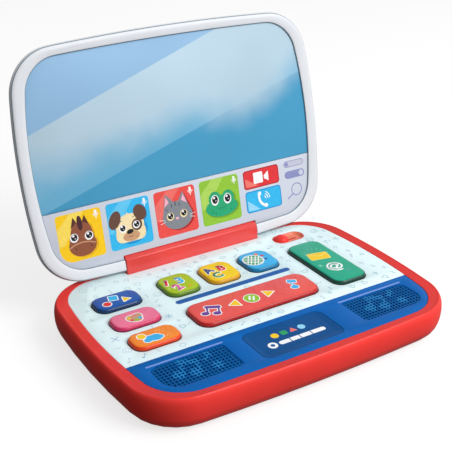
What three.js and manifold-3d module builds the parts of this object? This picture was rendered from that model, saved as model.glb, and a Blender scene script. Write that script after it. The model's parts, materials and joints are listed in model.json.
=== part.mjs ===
// A toddler's toy laptop: a tray-shaped base with eight sprung keys and a slide switch,
// and a padded-looking lid with a mirror screen, hinged on two pins in a raised bar.
// Millimetres, +Z up. The origin is the centre of the flat underside, +Y points at the hinge.
import * as THREE from 'three';
import { mergeVertices } from 'three/addons/utils/BufferGeometryUtils.js';
import Module from 'manifold-3d';

const wasm = await Module();
wasm.setup();

// ---------------------------------------------------------------- driving dimensions
const GAP = 0.3;            // play left between pieces that meet
const DECK_TOP = 24;        // the keyboard surface above the table
const DECK_THICK = 2.4;
const RIM_TOP = 24.5;       // the red rim stands a little proud of the deck
const RIM_CENTRE_Y = 0.9;
const SPLIT_Z = 9;          // where the two halves of the base meet
const FLOOR_THICK = 2;
const WALL = 2.4;
const LEDGE_TOP = DECK_TOP - DECK_THICK - GAP;
const LEDGE_THICK = 2.4;
const LEDGE_WIDTH = 6;
const SEAM_Y = -32.2;       // the pale deck ends here and the blue front panel begins

// Outlines bow out slightly on all four sides: half sizes, the radii of the long arcs, the corner.
const BASE = { halfX: 119.6, halfY: 84.1, sideR: 541, endR: 1524, corner: 35.7, cy: 0 };
const RIM_INNER = { halfX: 110, halfY: 76.8, sideR: 405, endR: 3080, corner: 28.1, cy: RIM_CENTRE_Y };
const LID = { halfX: 118.5, halfY: 82.05, sideR: 443, endR: 1523, corner: 32.6, cy: 75.75 };
const WINDOW = { halfX: 109.5, halfY: 73.6, sideR: 314, endR: 2097, corner: 25.1, cy: 76.3 };

// How far the wall lies inside the outline at each height: [inset, height].
const BOTTOM_WALL = [[11.5, 0], [7.6, 0.9], [4.4, 2.9], [2.1, 5.7], [0.9, SPLIT_Z]];
const TOP_WALL = [[0.9, SPLIT_Z + GAP], [0.2, 13], [0, 16.5], [0.3, 20.4], [1.1, 23], [2.6, RIM_TOP]];

// Lid, in its own frame: X across, Y up the lid from the hinge end, Z out of its front.
const LID_TILT = THREE.MathUtils.degToRad(90 - 13.12);
const HINGE = { y: 75.89, z: DECK_TOP + 7.21 };
const HINGE_ON_LID = { y: 0.9, z: -3.8 };
const LID_FRAME_WALL = [[2.2, -6.5], [0.6, -4.6], [0, -2.6], [0.5, -0.95], [1.7, -0.2], [3.2, 0]];
const LID_BACK_WALL = [[14, -10.4], [9, -10], [5, -8.8], [2.3, -6.5 - GAP]];
const LID_BACK_HOLLOW = [[15.5, -8.9], [10.5, -8.5], [6.6, -7.4], [4.2, -6.5]];
const PANEL_FRONT = -1.5;
const PANEL_THICK = 1.5;
const PANEL_LIP = 1.5;      // how far the frame laps over the panels
const PANEL_BOTTOM = 3.1;
const STRIP_TOP = 47;       // the picture strip ends here and the mirror begins

const BAR_HALF = 54.3;      // the raised bar between the lid's two knuckles
const BAR_RADIUS = 5.2;
const BAR_FOOT = [[70.4, DECK_TOP - 2.1], [70.4, DECK_TOP], [71.9, DECK_TOP + 10.3], [75.89, DECK_TOP + 12.41]];
const BAR_STEP = { y: 76.8, z: RIM_TOP + GAP };
const PIN_RADIUS = 1.5;
const PIN_INSIDE = 44;
const PIN_OUTSIDE = 66;

const KEY_RISE = 2.8;       // how far a key stands above the deck
const KEY_BOTTOM = 19.4;
const KEY_FLANGE = 1.3;
const KEY_FLANGE_TOP = 20.9;
const KEY_CLEARANCE = 0.5;
const PILL = { sx: 32.9, sy: 18.6, corner: 7 };
const TILE = { sx: 25, sy: 26.4, corner: 7.5 };
const LONG_BAR = { sx: 93.4, sy: 28.4, corner: 8.5 };
const TALL_BAR = { sx: 28, sy: 63.2, corner: 7.5 };
const KEYS = [
  { name: 'shapes', x: -78.6, y: 39.2, ...PILL, colour: '#1d5aaf', domes: [[0, 0]] },
  { name: 'palette', x: -78.6, y: 13, ...PILL, colour: '#f0708c', domes: [[0, 0]] },
  { name: 'weather', x: -78.6, y: -13.2, ...PILL, colour: '#fb8a1a', domes: [[0, 0]] },
  { name: 'numbers', x: -33.1, y: 37.2, ...TILE, colour: '#a9c814', domes: [[0, 0]] },
  { name: 'letters', x: -0.5, y: 37.2, ...TILE, colour: '#ffcd12', domes: [[0, 0]] },
  { name: 'globe', x: 32.1, y: 37.2, ...TILE, colour: '#43b1ea', domes: [[0, 0]] },
  { name: 'music', x: -0.4, y: -6.3, ...LONG_BAR, colour: '#f0554b', domes: [[-30, 0], [30, 0]] },
  { name: 'mail', x: 72.4, y: 10.5, ...TALL_BAR, colour: '#2bb28e', domes: [[0, -18], [0, 18]] },
];

const GRILLE = { x: 72, y: -53, sx: 51.6, sy: 26.2, corner: 3, outerCorner: 11 };
const PLATE = { x: -2.4, y: -53.7, sx: 61, sy: 31, corner: 6 };
const SWITCH = { x: 74, y: 59, sx: 25.4, sy: 13, knobR: 5.5, knobX: 67.9, floor: 21.8 };

const BOARD = { x0: -92, x1: 92, y0: -30, y1: 65.5, bottom: 15.1, thick: 1.6 };
const DOME = { bottom: 17, top: 19.1, baseR: 5, topR: 3.2 };
const BAY = { x: 27.5, y0: 14, y1: 50, top: 13.6, wall: 1.6 };
const DOOR = { x: 31, y0: 10.7, y1: 58, bottom: 0.3, top: 2.3, screwY: 54.4 };
const CELL = { radius: 5.25, length: 43.7, pitch: 11.6, z: 7.9 };
const CASE_SCREWS = [[-96.5, -62.4], [96.5, -62.4], [-96.5, 64.2], [96.5, 64.2]];
const BOARD_SCREWS = [[-87, -26.8], [87, -26.8], [-87, 53.5], [60, 50]];
const LEAD_RADIUS = 0.8;
const SPEAKER = { x: -72, y: -52, radius: 15.5, bottom: 11.5, top: 20.6 };

// ---------------------------------------------------------------- materials
function plastic(color, roughness = 0.35) {
  return new THREE.MeshStandardMaterial({ color, roughness, metalness: 0 });
}

function metal(color, roughness = 0.35) {
  return new THREE.MeshStandardMaterial({ color, roughness, metalness: 1 });
}

const RED = plastic('#e23c38');
const PALE = plastic('#e4f2f8', 0.45);
const BLUE = plastic('#1869b5', 0.4);
const GRILLE_BLUE = plastic('#0a4682', 0.5);
const GREY = plastic('#dee2e9');
const STRIP_GREY = plastic('#c6c8d7', 0.4);
const MIRROR = metal('#8cb4d7', 0.08);
const STEEL = metal('#b9bcc0');
const RUBBER = plastic('#d8d8d2', 0.8);
const DARK = plastic('#2a2c30', 0.5);
const BOARD_GREEN = plastic('#1f6b3a', 0.5);
const CELL_SLEEVE = plastic('#3f8f4c', 0.4);
const LEAD_RED = plastic('#b3201c', 0.5);

// ---------------------------------------------------------------- solids
function solidOf(geometry) {
  const bare = geometry.clone();
  bare.deleteAttribute('normal');
  bare.deleteAttribute('uv');
  const merged = mergeVertices(bare, 1e-4);
  return new wasm.Manifold(new wasm.Mesh({
    numProp: 3,
    vertProperties: new Float32Array(merged.attributes.position.array),
    triVerts: new Uint32Array(merged.index.array),
  }));
}

function geometryOf(solid) {
  const mesh = solid.getMesh();
  const geometry = new THREE.BufferGeometry();
  geometry.setAttribute('position', new THREE.BufferAttribute(new Float32Array(mesh.vertProperties), 3));
  geometry.setIndex(new THREE.BufferAttribute(new Uint32Array(mesh.triVerts), 1));
  geometry.computeVertexNormals();
  return geometry;
}

function join(first, ...others) {
  return others.reduce((sum, other) => sum.add(other), first);
}

function cut(first, ...others) {
  return others.reduce((rest, other) => rest.subtract(other), first);
}

// A straight solid on an outline, from height z0 to z1.
function prism(outline, z0, z1) {
  const shape = new THREE.Shape(outline);
  const geometry = new THREE.ExtrudeGeometry(shape, { depth: z1 - z0, bevelEnabled: false });
  return solidOf(geometry.translate(0, 0, z0));
}

function box(x0, x1, y0, y1, z0, z1) {
  const geometry = new THREE.BoxGeometry(x1 - x0, y1 - y0, z1 - z0);
  return solidOf(geometry.translate((x0 + x1) / 2, (y0 + y1) / 2, (z0 + z1) / 2));
}

// An upright cylinder or cone, rBottom at z0 and rTop at z1.
function post(x, y, rBottom, rTop, z0, z1, sides = 12) {
  const geometry = new THREE.CylinderGeometry(rTop, rBottom, z1 - z0, sides);
  return solidOf(geometry.rotateX(Math.PI / 2).translate(x, y, (z0 + z1) / 2));
}

// A round bar along X.
function crossBar(x0, x1, y, z, radius, sides = 16) {
  const geometry = new THREE.CylinderGeometry(radius, radius, x1 - x0, sides);
  return solidOf(geometry.rotateZ(Math.PI / 2).translate((x0 + x1) / 2, y, z));
}

// A skin through rings of equal point counts, closed by a flat cap at each end.
function loft(rings) {
  const count = rings[0].points.length;
  const positions = rings.flatMap(({ points, z }) => points.flatMap((p) => [p.x, p.y, z]));
  const faces = [];
  for (let ring = 0; ring + 1 < rings.length; ring += 1) {
    for (let i = 0; i < count; i += 1) {
      const a = ring * count + i;
      const b = ring * count + ((i + 1) % count);
      faces.push(a, b, b + count, a, b + count, a + count);
    }
  }
  const cap = THREE.ShapeUtils.triangulateShape(rings[0].points, []);
  const last = (rings.length - 1) * count;
  for (const [a, b, c] of cap) faces.push(a, c, b, last + a, last + b, last + c);
  const geometry = new THREE.BufferGeometry();
  geometry.setAttribute('position', new THREE.Float32BufferAttribute(positions, 3));
  geometry.setIndex(faces);
  return solidOf(geometry);
}

// ---------------------------------------------------------------- outlines
const CORNER_STEPS = 5;

function arcPoints(cx, cy, radius, from, to, steps) {
  const points = [];
  for (let i = 0; i < steps; i += 1) {
    const angle = from + ((to - from) * i) / steps;
    points.push(new THREE.Vector2(cx + radius * Math.cos(angle), cy + radius * Math.sin(angle)));
  }
  return points;
}

// Four long arcs joined by corner arcs that are tangent to both, drawn inset from the outline.
function bowed({ halfX, halfY, sideR, endR, corner, cy }, inset = 0) {
  const side = new THREE.Vector2(halfX - sideR, 0);
  const end = new THREE.Vector2(0, halfY - endR);
  const reach = sideR - corner;
  const span = end.clone().sub(side);
  const along = (reach ** 2 - (endR - corner) ** 2 + span.lengthSq()) / (2 * span.length());
  const across = Math.sqrt(reach ** 2 - along ** 2);
  const unit = span.normalize();
  const foot = side.clone().addScaledVector(unit, along);
  const centre = foot.addScaledVector(new THREE.Vector2(-unit.y, unit.x), across);
  const sideEnd = centre.clone().sub(side).angle();
  const endStart = centre.clone().sub(end).angle();
  const quarter = [
    ...arcPoints(side.x, 0, sideR - inset, 0, sideEnd, 2),
    ...arcPoints(centre.x, centre.y, corner - inset, sideEnd, endStart, 6),
    ...arcPoints(0, end.y, endR - inset, endStart, Math.PI / 2, 3),
    new THREE.Vector2(0, halfY - inset),
  ];
  const back = [...quarter].reverse().map((p) => new THREE.Vector2(-p.x, p.y));
  const upper = [...quarter.slice(0, -1), ...back.slice(0, -1)];
  const lower = upper.map((p) => new THREE.Vector2(-p.x, -p.y));
  return [...upper, ...lower].map((p) => new THREE.Vector2(p.x, p.y + cy));
}

function bowedLoft(outline, wall) {
  return loft(wall.map(([inset, z]) => ({ points: bowed(outline, inset), z })));
}

// A rounded rectangle, grown or shrunk by offset; corners run anticlockwise from +X +Y.
function rounded({ x, y, sx, sy, corner }, offset = 0, corners = [corner, corner, corner, corner]) {
  const hx = sx / 2 + offset;
  const hy = sy / 2 + offset;
  const signs = [[1, 1], [-1, 1], [-1, -1], [1, -1]];
  return signs.flatMap(([ux, uy], i) => {
    const r = Math.max(corners[i] + offset, 0.3);
    const from = (i * Math.PI) / 2;
    const to = from + (Math.PI / 2) * (1 + 1 / CORNER_STEPS);
    return arcPoints(x + ux * (hx - r), y + uy * (hy - r), r, from, to, CORNER_STEPS + 1);
  });
}

function grilleOutline(sign, offset = 0) {
  const { corner, outerCorner } = GRILLE;
  const upper = outerCorner * 0.6;
  const corners = sign > 0 ? [upper, corner, corner, outerCorner] : [corner, upper, outerCorner, corner];
  return rounded({ ...GRILLE, x: sign * GRILLE.x }, offset, corners);
}

const switchOutline = (offset = 0) => rounded({ ...SWITCH, corner: SWITCH.sy / 2 - 0.05 }, offset);

// ---------------------------------------------------------------- base shells
function bottomShell() {
  const hollow = BOTTOM_WALL.map(([inset, z]) => [inset + WALL, Math.max(z, 0.4) + FLOOR_THICK]);
  hollow[hollow.length - 1][1] = SPLIT_Z + 1;
  const outer = bowedLoft(BASE, BOTTOM_WALL);
  let shell = cut(outer, bowedLoft(BASE, hollow));
  const pad = box(-DOOR.x - 3, DOOR.x + 3, DOOR.y0 - 3, DOOR.y1 + 3, 0.5, 4);
  const bayX = BAY.x + BAY.wall;
  const bay = box(-bayX, bayX, BAY.y0 - BAY.wall, BAY.y1 + BAY.wall, 1, BAY.top + 1.2);
  shell = join(shell, pad, bay, post(0, DOOR.screwY, 3, 3, 3, 11));
  for (const [x, y] of CASE_SCREWS) shell = shell.add(post(x, y, 5, 5, 0.6, SPLIT_Z).intersect(outer));
  for (const [x, y] of BOARD_SCREWS) shell = shell.add(post(x, y, 3.2, 3.2, 1, BOARD.bottom - GAP));
  shell = cut(
    shell,
    box(-DOOR.x - GAP, DOOR.x + GAP, DOOR.y0 - GAP, DOOR.y1 + GAP, -1, DOOR.top + GAP),
    box(-BAY.x, BAY.x, BAY.y0, BAY.y1, -1, BAY.top),
    post(0, DOOR.screwY, 1.4, 1.4, 1, 9),
  );
  for (const [x, y] of CASE_SCREWS) {
    shell = cut(shell, post(x, y, 3.4, 3.4, -1, 5.4), post(x, y, 1.6, 1.6, 5, SPLIT_Z + 1));
  }
  for (const [x, y] of BOARD_SCREWS) shell = cut(shell, post(x, y, 1.2, 1.2, 8, BOARD.bottom));
  return shell;
}

function topShell() {
  const ledgeBottom = LEDGE_TOP - LEDGE_THICK;
  const hollow = TOP_WALL.slice(0, 4).map(([inset, z]) => [inset + WALL, Math.min(z, ledgeBottom)]);
  hollow[0][1] = SPLIT_Z - 1;
  let shell = cut(
    bowedLoft(BASE, TOP_WALL),
    bowedLoft(BASE, hollow),
    prism(bowed(RIM_INNER), LEDGE_TOP, RIM_TOP + 1),
    prism(bowed(RIM_INNER, LEDGE_WIDTH), ledgeBottom - 1, LEDGE_TOP + 1),
  );
  shell = shell.add(box(-BAR_HALF - 2, BAR_HALF + 2, 64, 76, ledgeBottom, LEDGE_TOP));
  for (const [x, y] of CASE_SCREWS) shell = shell.add(post(x, y, 3.4, 3.4, SPLIT_Z + GAP, LEDGE_TOP - 0.2));
  for (const [x, y] of CASE_SCREWS) shell = shell.subtract(post(x, y, 1.4, 1.4, SPLIT_Z - 1, 18.4));
  return shell;
}

// ---------------------------------------------------------------- keyboard surface
function deckPanel() {
  const panel = prism(bowed(RIM_INNER, GAP), LEDGE_TOP + GAP, DECK_TOP);
  const front = box(-130, 130, -100, SEAM_Y + GAP / 2, 0, 40);
  const barNotch = box(-BAR_HALF - GAP, BAR_HALF + GAP, BAR_FOOT[0][0] - GAP, 100, 0, 40);
  const keyHoles = KEYS.map((key) => prism(rounded(key, KEY_CLEARANCE), 0, 40));
  return cut(panel, front, barNotch, prism(switchOutline(GAP), 0, 40), ...keyHoles);
}

function frontPanel() {
  const panel = prism(bowed(RIM_INNER, GAP), LEDGE_TOP + GAP, DECK_TOP);
  return cut(
    panel,
    box(-130, 130, SEAM_Y - GAP / 2, 100, 0, 40),
    prism(rounded(PLATE, GAP), 0, 40),
    prism(grilleOutline(-1, GAP), 0, 40),
    prism(grilleOutline(1, GAP), 0, 40),
  );
}

// A cap with a soft top edge, kept under the deck by a flange round its foot.
function keyCap(key) {
  const top = DECK_TOP + KEY_RISE;
  const rings = [
    [KEY_FLANGE, KEY_BOTTOM], [KEY_FLANGE, KEY_FLANGE_TOP], [0, KEY_FLANGE_TOP], [0, top - 1.4],
    [-0.35, top - 0.5], [-1.3, top],
  ];
  return loft(rings.map(([offset, z]) => ({ points: rounded(key, offset), z })));
}

function rubberDome(x, y) {
  const { bottom, top, baseR, topR } = DOME;
  const profile = [
    [0, bottom], [baseR, bottom], [baseR, bottom + 0.6], [topR, top - 0.5], [topR - 0.4, top], [0, top],
  ];
  const geometry = new THREE.LatheGeometry(profile.map(([r, z]) => new THREE.Vector2(r, z)), 12);
  return solidOf(geometry.rotateX(Math.PI / 2)).translate([x, y, 0]);
}

// ---------------------------------------------------------------- slide switch
function switchTray() {
  const cup = prism(switchOutline(), SWITCH.floor - 0.9, DECK_TOP);
  const slot = box(SWITCH.knobX - 2, SWITCH.knobX + 14.3, SWITCH.y - 1.5, SWITCH.y + 1.5, 0, 40);
  return cut(cup, prism(switchOutline(-0.7), SWITCH.floor, DECK_TOP + 1), slot);
}

function switchKnob() {
  const { knobR, knobX, y, floor } = SWITCH;
  const low = floor + GAP;
  const profile = [
    [0, low], [knobR - 0.5, low], [knobR, low + 0.7], [knobR - 0.25, low + 2.2],
    [knobR - 1.5, low + 3.8], [knobR - 3.4, low + 4.7], [0, low + 5],
  ];
  const geometry = new THREE.LatheGeometry(profile.map(([r, z]) => new THREE.Vector2(r, z)), 16);
  const stem = box(knobX - 1.1, knobX + 1.1, y - 1.1, y + 1.1, 18.6, low + 1);
  return join(solidOf(geometry.rotateX(Math.PI / 2)).translate([knobX, y, 0]), stem);
}

function switchBody() {
  const { knobX, y } = SWITCH;
  const body = box(knobX - 4.5, knobX + 16.8, y - 3.4, y + 3.4, BOARD.bottom + BOARD.thick + GAP, 20.2);
  return cut(body, box(knobX - 1.9, knobX + 14.2, y - 1.5, y + 1.5, 18.2, 30));
}

// ---------------------------------------------------------------- hinge
function hingeBar() {
  const outline = new THREE.Shape(BAR_FOOT.map(([y, z]) => new THREE.Vector2(y, z)));
  const [tipY, tipZ] = BAR_FOOT[BAR_FOOT.length - 1];
  const start = Math.atan2(tipZ - HINGE.z, tipY - HINGE.y);
  for (const p of arcPoints(HINGE.y, HINGE.z, BAR_RADIUS, start, 0, 9).slice(1)) outline.lineTo(p.x, p.y);
  outline.lineTo(HINGE.y + BAR_RADIUS, HINGE.z);
  outline.lineTo(HINGE.y + BAR_RADIUS, BAR_STEP.z);
  outline.lineTo(BAR_STEP.y, BAR_STEP.z);
  outline.lineTo(BAR_STEP.y, BAR_FOOT[0][1]);
  const geometry = new THREE.ExtrudeGeometry(outline, { depth: 2 * BAR_HALF, bevelEnabled: false });
  geometry.rotateX(Math.PI / 2).rotateZ(Math.PI / 2).translate(-BAR_HALF, 0, 0);
  const bores = [-1, 1].map((sign) => {
    const ends = [sign * (PIN_INSIDE - GAP), sign * (BAR_HALF + 1)].sort((a, b) => a - b);
    return crossBar(ends[0], ends[1], HINGE.y, HINGE.z, PIN_RADIUS + GAP);
  });
  return cut(solidOf(geometry), ...bores);
}

function hingePin(sign) {
  const ends = [sign * PIN_INSIDE, sign * PIN_OUTSIDE].sort((a, b) => a - b);
  return crossBar(ends[0], ends[1], HINGE.y, HINGE.z, PIN_RADIUS);
}

// ---------------------------------------------------------------- lid, in its own frame
// Room for the bar to turn in: all that lies below the axis, and a round over it.
function barRoom() {
  const half = BAR_HALF + 2 * GAP;
  const { y, z } = HINGE_ON_LID;
  return join(crossBar(-half, half, y, z, BAR_RADIUS + GAP + 0.1, 28), box(-half, half, -20, y, -20, 10));
}

function lidFrame() {
  const bores = [-1, 1].map((sign) => {
    const ends = [sign * (BAR_HALF - 2), sign * (PIN_OUTSIDE + GAP)].sort((a, b) => a - b);
    return crossBar(ends[0], ends[1], HINGE_ON_LID.y, HINGE_ON_LID.z, PIN_RADIUS + GAP);
  });
  const pocket = cut(
    prism(bowed(WINDOW, -PANEL_LIP), -20, PANEL_FRONT + GAP),
    box(-130, 130, -20, PANEL_BOTTOM, -30, 10),
  );
  return cut(bowedLoft(LID, LID_FRAME_WALL), prism(bowed(WINDOW), -20, 10), pocket, barRoom(), ...bores);
}

function lidBack() {
  const hollow = cut(bowedLoft(LID, LID_BACK_HOLLOW), box(-130, 130, -20, 10.2, -20, 10));
  return cut(bowedLoft(LID, LID_BACK_WALL), hollow, barRoom());
}

function lidPanel(y0, y1) {
  const sheet = prism(bowed(WINDOW, -PANEL_LIP + GAP), PANEL_FRONT - PANEL_THICK, PANEL_FRONT);
  return cut(sheet, box(-130, 130, -30, y0, -20, 10), box(-130, 130, y1, 200, -20, 10), barRoom());
}

// ---------------------------------------------------------------- electronics and power
function circuitBoard() {
  const { x0, x1, y0, y1, bottom, thick } = BOARD;
  const holes = BOARD_SCREWS.map(([x, y]) => post(x, y, 1.5, 1.5, bottom - 1, bottom + thick + 1));
  return cut(box(x0, x1, y0, y1, bottom, bottom + thick), ...holes);
}

function speaker() {
  const { radius, bottom, top } = SPEAKER;
  const profile = [
    [0, bottom], [9, bottom], [9, bottom + 3.4], [radius - 2, top - 1.6], [radius, top - 1.6],
    [radius, top], [radius - 1.5, top], [8, top - 2.4], [4, top - 1.6], [0, top - 1.2],
  ];
  const geometry = new THREE.LatheGeometry(profile.map(([r, z]) => new THREE.Vector2(r, z)), 18);
  return solidOf(geometry.rotateX(Math.PI / 2)).translate([SPEAKER.x, SPEAKER.y, 0]);
}

function batteryDoor() {
  const plate = box(-DOOR.x, DOOR.x, DOOR.y0, DOOR.y1, DOOR.bottom, DOOR.top);
  return cut(plate, post(0, DOOR.screwY, 2.8, 2.8, -1, 1.5), post(0, DOOR.screwY, 1.3, 1.3, 1, 5));
}

// A pan-head screw that points up, its head's underside at z.
function screw(x, y, headR, shankR, z, tip) {
  return join(post(x, y, headR * 0.75, headR, z - 1.3, z - 0.6, 10), post(x, y, headR, headR, z - 0.6, z, 10),
    post(x, y, shankR, shankR, z - 0.2, tip, 8));
}

function cell(index) {
  const y = (BAY.y0 + BAY.y1) / 2 + (index - 1) * CELL.pitch;
  const sign = index % 2 === 0 ? 1 : -1;
  const half = CELL.length / 2;
  const nub = [sign * (half - 0.5), sign * (half + 0.8)].sort((a, b) => a - b);
  return join(crossBar(-half, half, y, CELL.z, CELL.radius), crossBar(nub[0], nub[1], y, CELL.z, 1.9, 12));
}

function contactPlate(sign) {
  const outer = sign * (BAY.x - GAP);
  const inner = sign * (BAY.x - GAP - 0.5);
  const [x0, x1] = [outer, inner].sort((a, b) => a - b);
  let plate = box(x0, x1, BAY.y0 + 1, BAY.y1 - 1, 3.4, 12.4);
  for (let index = 0; index < 3; index += 1) {
    const y = (BAY.y0 + BAY.y1) / 2 + (index - 1) * CELL.pitch;
    const length = (index % 2 === 0 ? 1 : -1) === sign ? 3 : 3.8;
    const geometry = new THREE.CylinderGeometry(1.8, 3.2, length, 10);
    geometry.rotateZ((sign * Math.PI) / 2).translate(inner - (sign * (length - 0.2)) / 2, y, CELL.z);
    plate = plate.add(solidOf(geometry));
  }
  return plate;
}

// A thin two-core lead, square-ended, along a curve through hand-chosen points.
function lead(points, radius) {
  const section = new THREE.Shape(arcPoints(0, 0, radius, 0, 2 * Math.PI, 6));
  const path = new THREE.CatmullRomCurve3(points.map((p) => new THREE.Vector3(...p)));
  return solidOf(new THREE.ExtrudeGeometry(section, { steps: 10, bevelEnabled: false, extrudePath: path }));
}

// ---------------------------------------------------------------- assembly
const laptop = new THREE.Group();

function place(parent, name, solid, material) {
  const mesh = new THREE.Mesh(geometryOf(solid), material);
  mesh.name = name;
  parent.add(mesh);
}

const base = new THREE.Group();
place(base, 'bottom_shell', bottomShell(), RED);
place(base, 'top_shell', topShell(), RED);
place(base, 'keyboard_deck', deckPanel(), PALE);
place(base, 'front_panel', frontPanel(), BLUE);
place(base, 'badge_plate', prism(rounded(PLATE), LEDGE_TOP + GAP, DECK_TOP - 0.7), BLUE);
for (const [side, sign] of [['left', -1], ['right', 1]]) {
  const grille = prism(grilleOutline(sign), LEDGE_TOP + GAP, DECK_TOP - 0.5);
  place(base, `speaker_grille_${side}`, grille, GRILLE_BLUE);
  place(base, `hinge_pin_${side}`, hingePin(sign), STEEL);
  place(base, `battery_contact_${side}`, contactPlate(sign), STEEL);
}
place(base, 'hinge_bar', hingeBar(), RED);
place(base, 'switch_tray', switchTray(), RED);
place(base, 'switch_knob', switchKnob(), RED);
place(base, 'slide_switch', switchBody(), DARK);
place(base, 'circuit_board', circuitBoard(), BOARD_GREEN);
place(base, 'speaker', speaker(), DARK);
for (const key of KEYS) {
  place(base, `key_${key.name}`, keyCap(key), plastic(key.colour));
  key.domes.forEach(([dx, dy], index) => {
    place(base, `dome_${key.name}_${index + 1}`, rubberDome(key.x + dx, key.y + dy), RUBBER);
  });
}
for (let index = 0; index < 3; index += 1) place(base, `battery_${index + 1}`, cell(index), CELL_SLEEVE);
place(base, 'battery_door', batteryDoor(), RED);
place(base, 'battery_door_screw', screw(0, DOOR.screwY, 2.4, 1, 1.45, 8), STEEL);
CASE_SCREWS.forEach(([x, y], index) => {
  place(base, `case_screw_${index + 1}`, screw(x, y, 2.9, 1.1, 5.1, 17.5), STEEL);
});
BOARD_SCREWS.forEach(([x, y], index) => {
  const head = BOARD.bottom + BOARD.thick + GAP;
  const turned = screw(0, 0, 2.4, 0.9, 0, 7.5).rotate([180, 0, 0]).translate([x, y, head]);
  place(base, `board_screw_${index + 1}`, turned, STEEL);
});
const speakerRoute = [[-61, -42, 12.6], [-56, -37, 12], [-50, -31, 13.2], [-46, -27, 14.2]];
const batteryRoute = [[31, 32, 9], [36, 32, 9.4], [41, 31, 12], [44, 29, 14.2]];
place(base, 'speaker_lead', lead(speakerRoute, LEAD_RADIUS), LEAD_RED);
place(base, 'battery_lead', lead(batteryRoute, LEAD_RADIUS), LEAD_RED);
laptop.add(base);

const lid = new THREE.Group();
lid.position.set(0, HINGE.y, HINGE.z);
lid.rotation.x = LID_TILT;
const lidPieces = new THREE.Group();
lidPieces.position.set(0, -HINGE_ON_LID.y, -HINGE_ON_LID.z);
place(lidPieces, 'lid_frame', lidFrame(), GREY);
place(lidPieces, 'lid_back', lidBack(), GREY);
place(lidPieces, 'mirror_screen', lidPanel(STRIP_TOP + GAP / 2, 190), MIRROR);
place(lidPieces, 'picture_strip', lidPanel(PANEL_BOTTOM + GAP, STRIP_TOP - GAP / 2), STRIP_GREY);
lid.add(lidPieces);
laptop.add(lid);

export default laptop;
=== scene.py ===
"""A toddler's toy laptop computer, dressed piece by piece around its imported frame."""
import json
import logging
import math
import random
from dataclasses import dataclass, replace
from enum import Enum
from typing import Callable, Iterable, Sequence

import bmesh
import bpy
from mathutils import Matrix, Vector

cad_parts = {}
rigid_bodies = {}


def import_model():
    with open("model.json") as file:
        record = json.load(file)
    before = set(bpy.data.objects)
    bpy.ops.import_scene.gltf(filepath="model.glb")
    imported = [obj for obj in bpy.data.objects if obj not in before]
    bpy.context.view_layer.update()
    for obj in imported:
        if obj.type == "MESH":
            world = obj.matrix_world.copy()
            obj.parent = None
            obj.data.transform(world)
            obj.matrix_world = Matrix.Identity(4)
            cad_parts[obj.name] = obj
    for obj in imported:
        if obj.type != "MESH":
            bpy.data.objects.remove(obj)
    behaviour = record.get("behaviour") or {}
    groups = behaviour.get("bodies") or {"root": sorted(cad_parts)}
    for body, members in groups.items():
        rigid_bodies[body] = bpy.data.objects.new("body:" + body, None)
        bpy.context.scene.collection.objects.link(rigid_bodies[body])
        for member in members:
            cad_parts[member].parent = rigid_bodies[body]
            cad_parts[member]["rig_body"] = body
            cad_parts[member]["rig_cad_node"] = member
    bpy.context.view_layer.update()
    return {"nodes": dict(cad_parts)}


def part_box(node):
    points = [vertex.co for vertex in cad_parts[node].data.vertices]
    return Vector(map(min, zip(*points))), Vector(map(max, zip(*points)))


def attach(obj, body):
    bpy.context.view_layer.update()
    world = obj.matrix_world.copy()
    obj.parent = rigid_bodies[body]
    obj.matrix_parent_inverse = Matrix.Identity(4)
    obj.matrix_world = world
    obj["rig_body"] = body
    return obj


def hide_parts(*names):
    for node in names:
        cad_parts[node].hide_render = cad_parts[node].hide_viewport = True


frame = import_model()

LOG = logging.getLogger("toy_laptop")
MM = 0.001
GAP = 0.3
DECK_TOP = 24.0
DECK_BOTTOM = 21.6
KEY_TOP = 26.8
KEY_BOTTOM = 19.4
SEAM_Y = -32.2
LID_TILT = 76.88
HINGE_Y = 75.89
HINGE_Z = 31.21
HINGE_ON_LID_Y = 0.9
HINGE_ON_LID_Z = -3.8
PANEL_FRONT = -1.5
PANEL_BACK = -3.0
STRIP_TOP = 47.0

Colour = tuple[int, int, int]
Point = tuple[float, float]
Piece = bpy.types.Object
Socket = bpy.types.NodeSocket


# ---- finishes


def linear(colour: Colour) -> tuple[float, float, float, float]:
    """A paint chip's red, green and blue, 0 to 255, as the light it sends back.

    Args:
        colour: its three numbers.

    Returns:
        The linear colour, with a full alpha.
    """
    parts = [c / 255.0 for c in colour]
    parts = [c / 12.92 if c <= 0.04045 else ((c + 0.055) / 1.055) ** 2.4 for c in parts]
    return parts[0], parts[1], parts[2], 1.0


def shade(colour: Colour, by: float) -> Colour:
    """The colour made lighter, above 1, or darker, below 1."""
    return tuple(min(255, max(0, round(c * by))) for c in colour)


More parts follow.
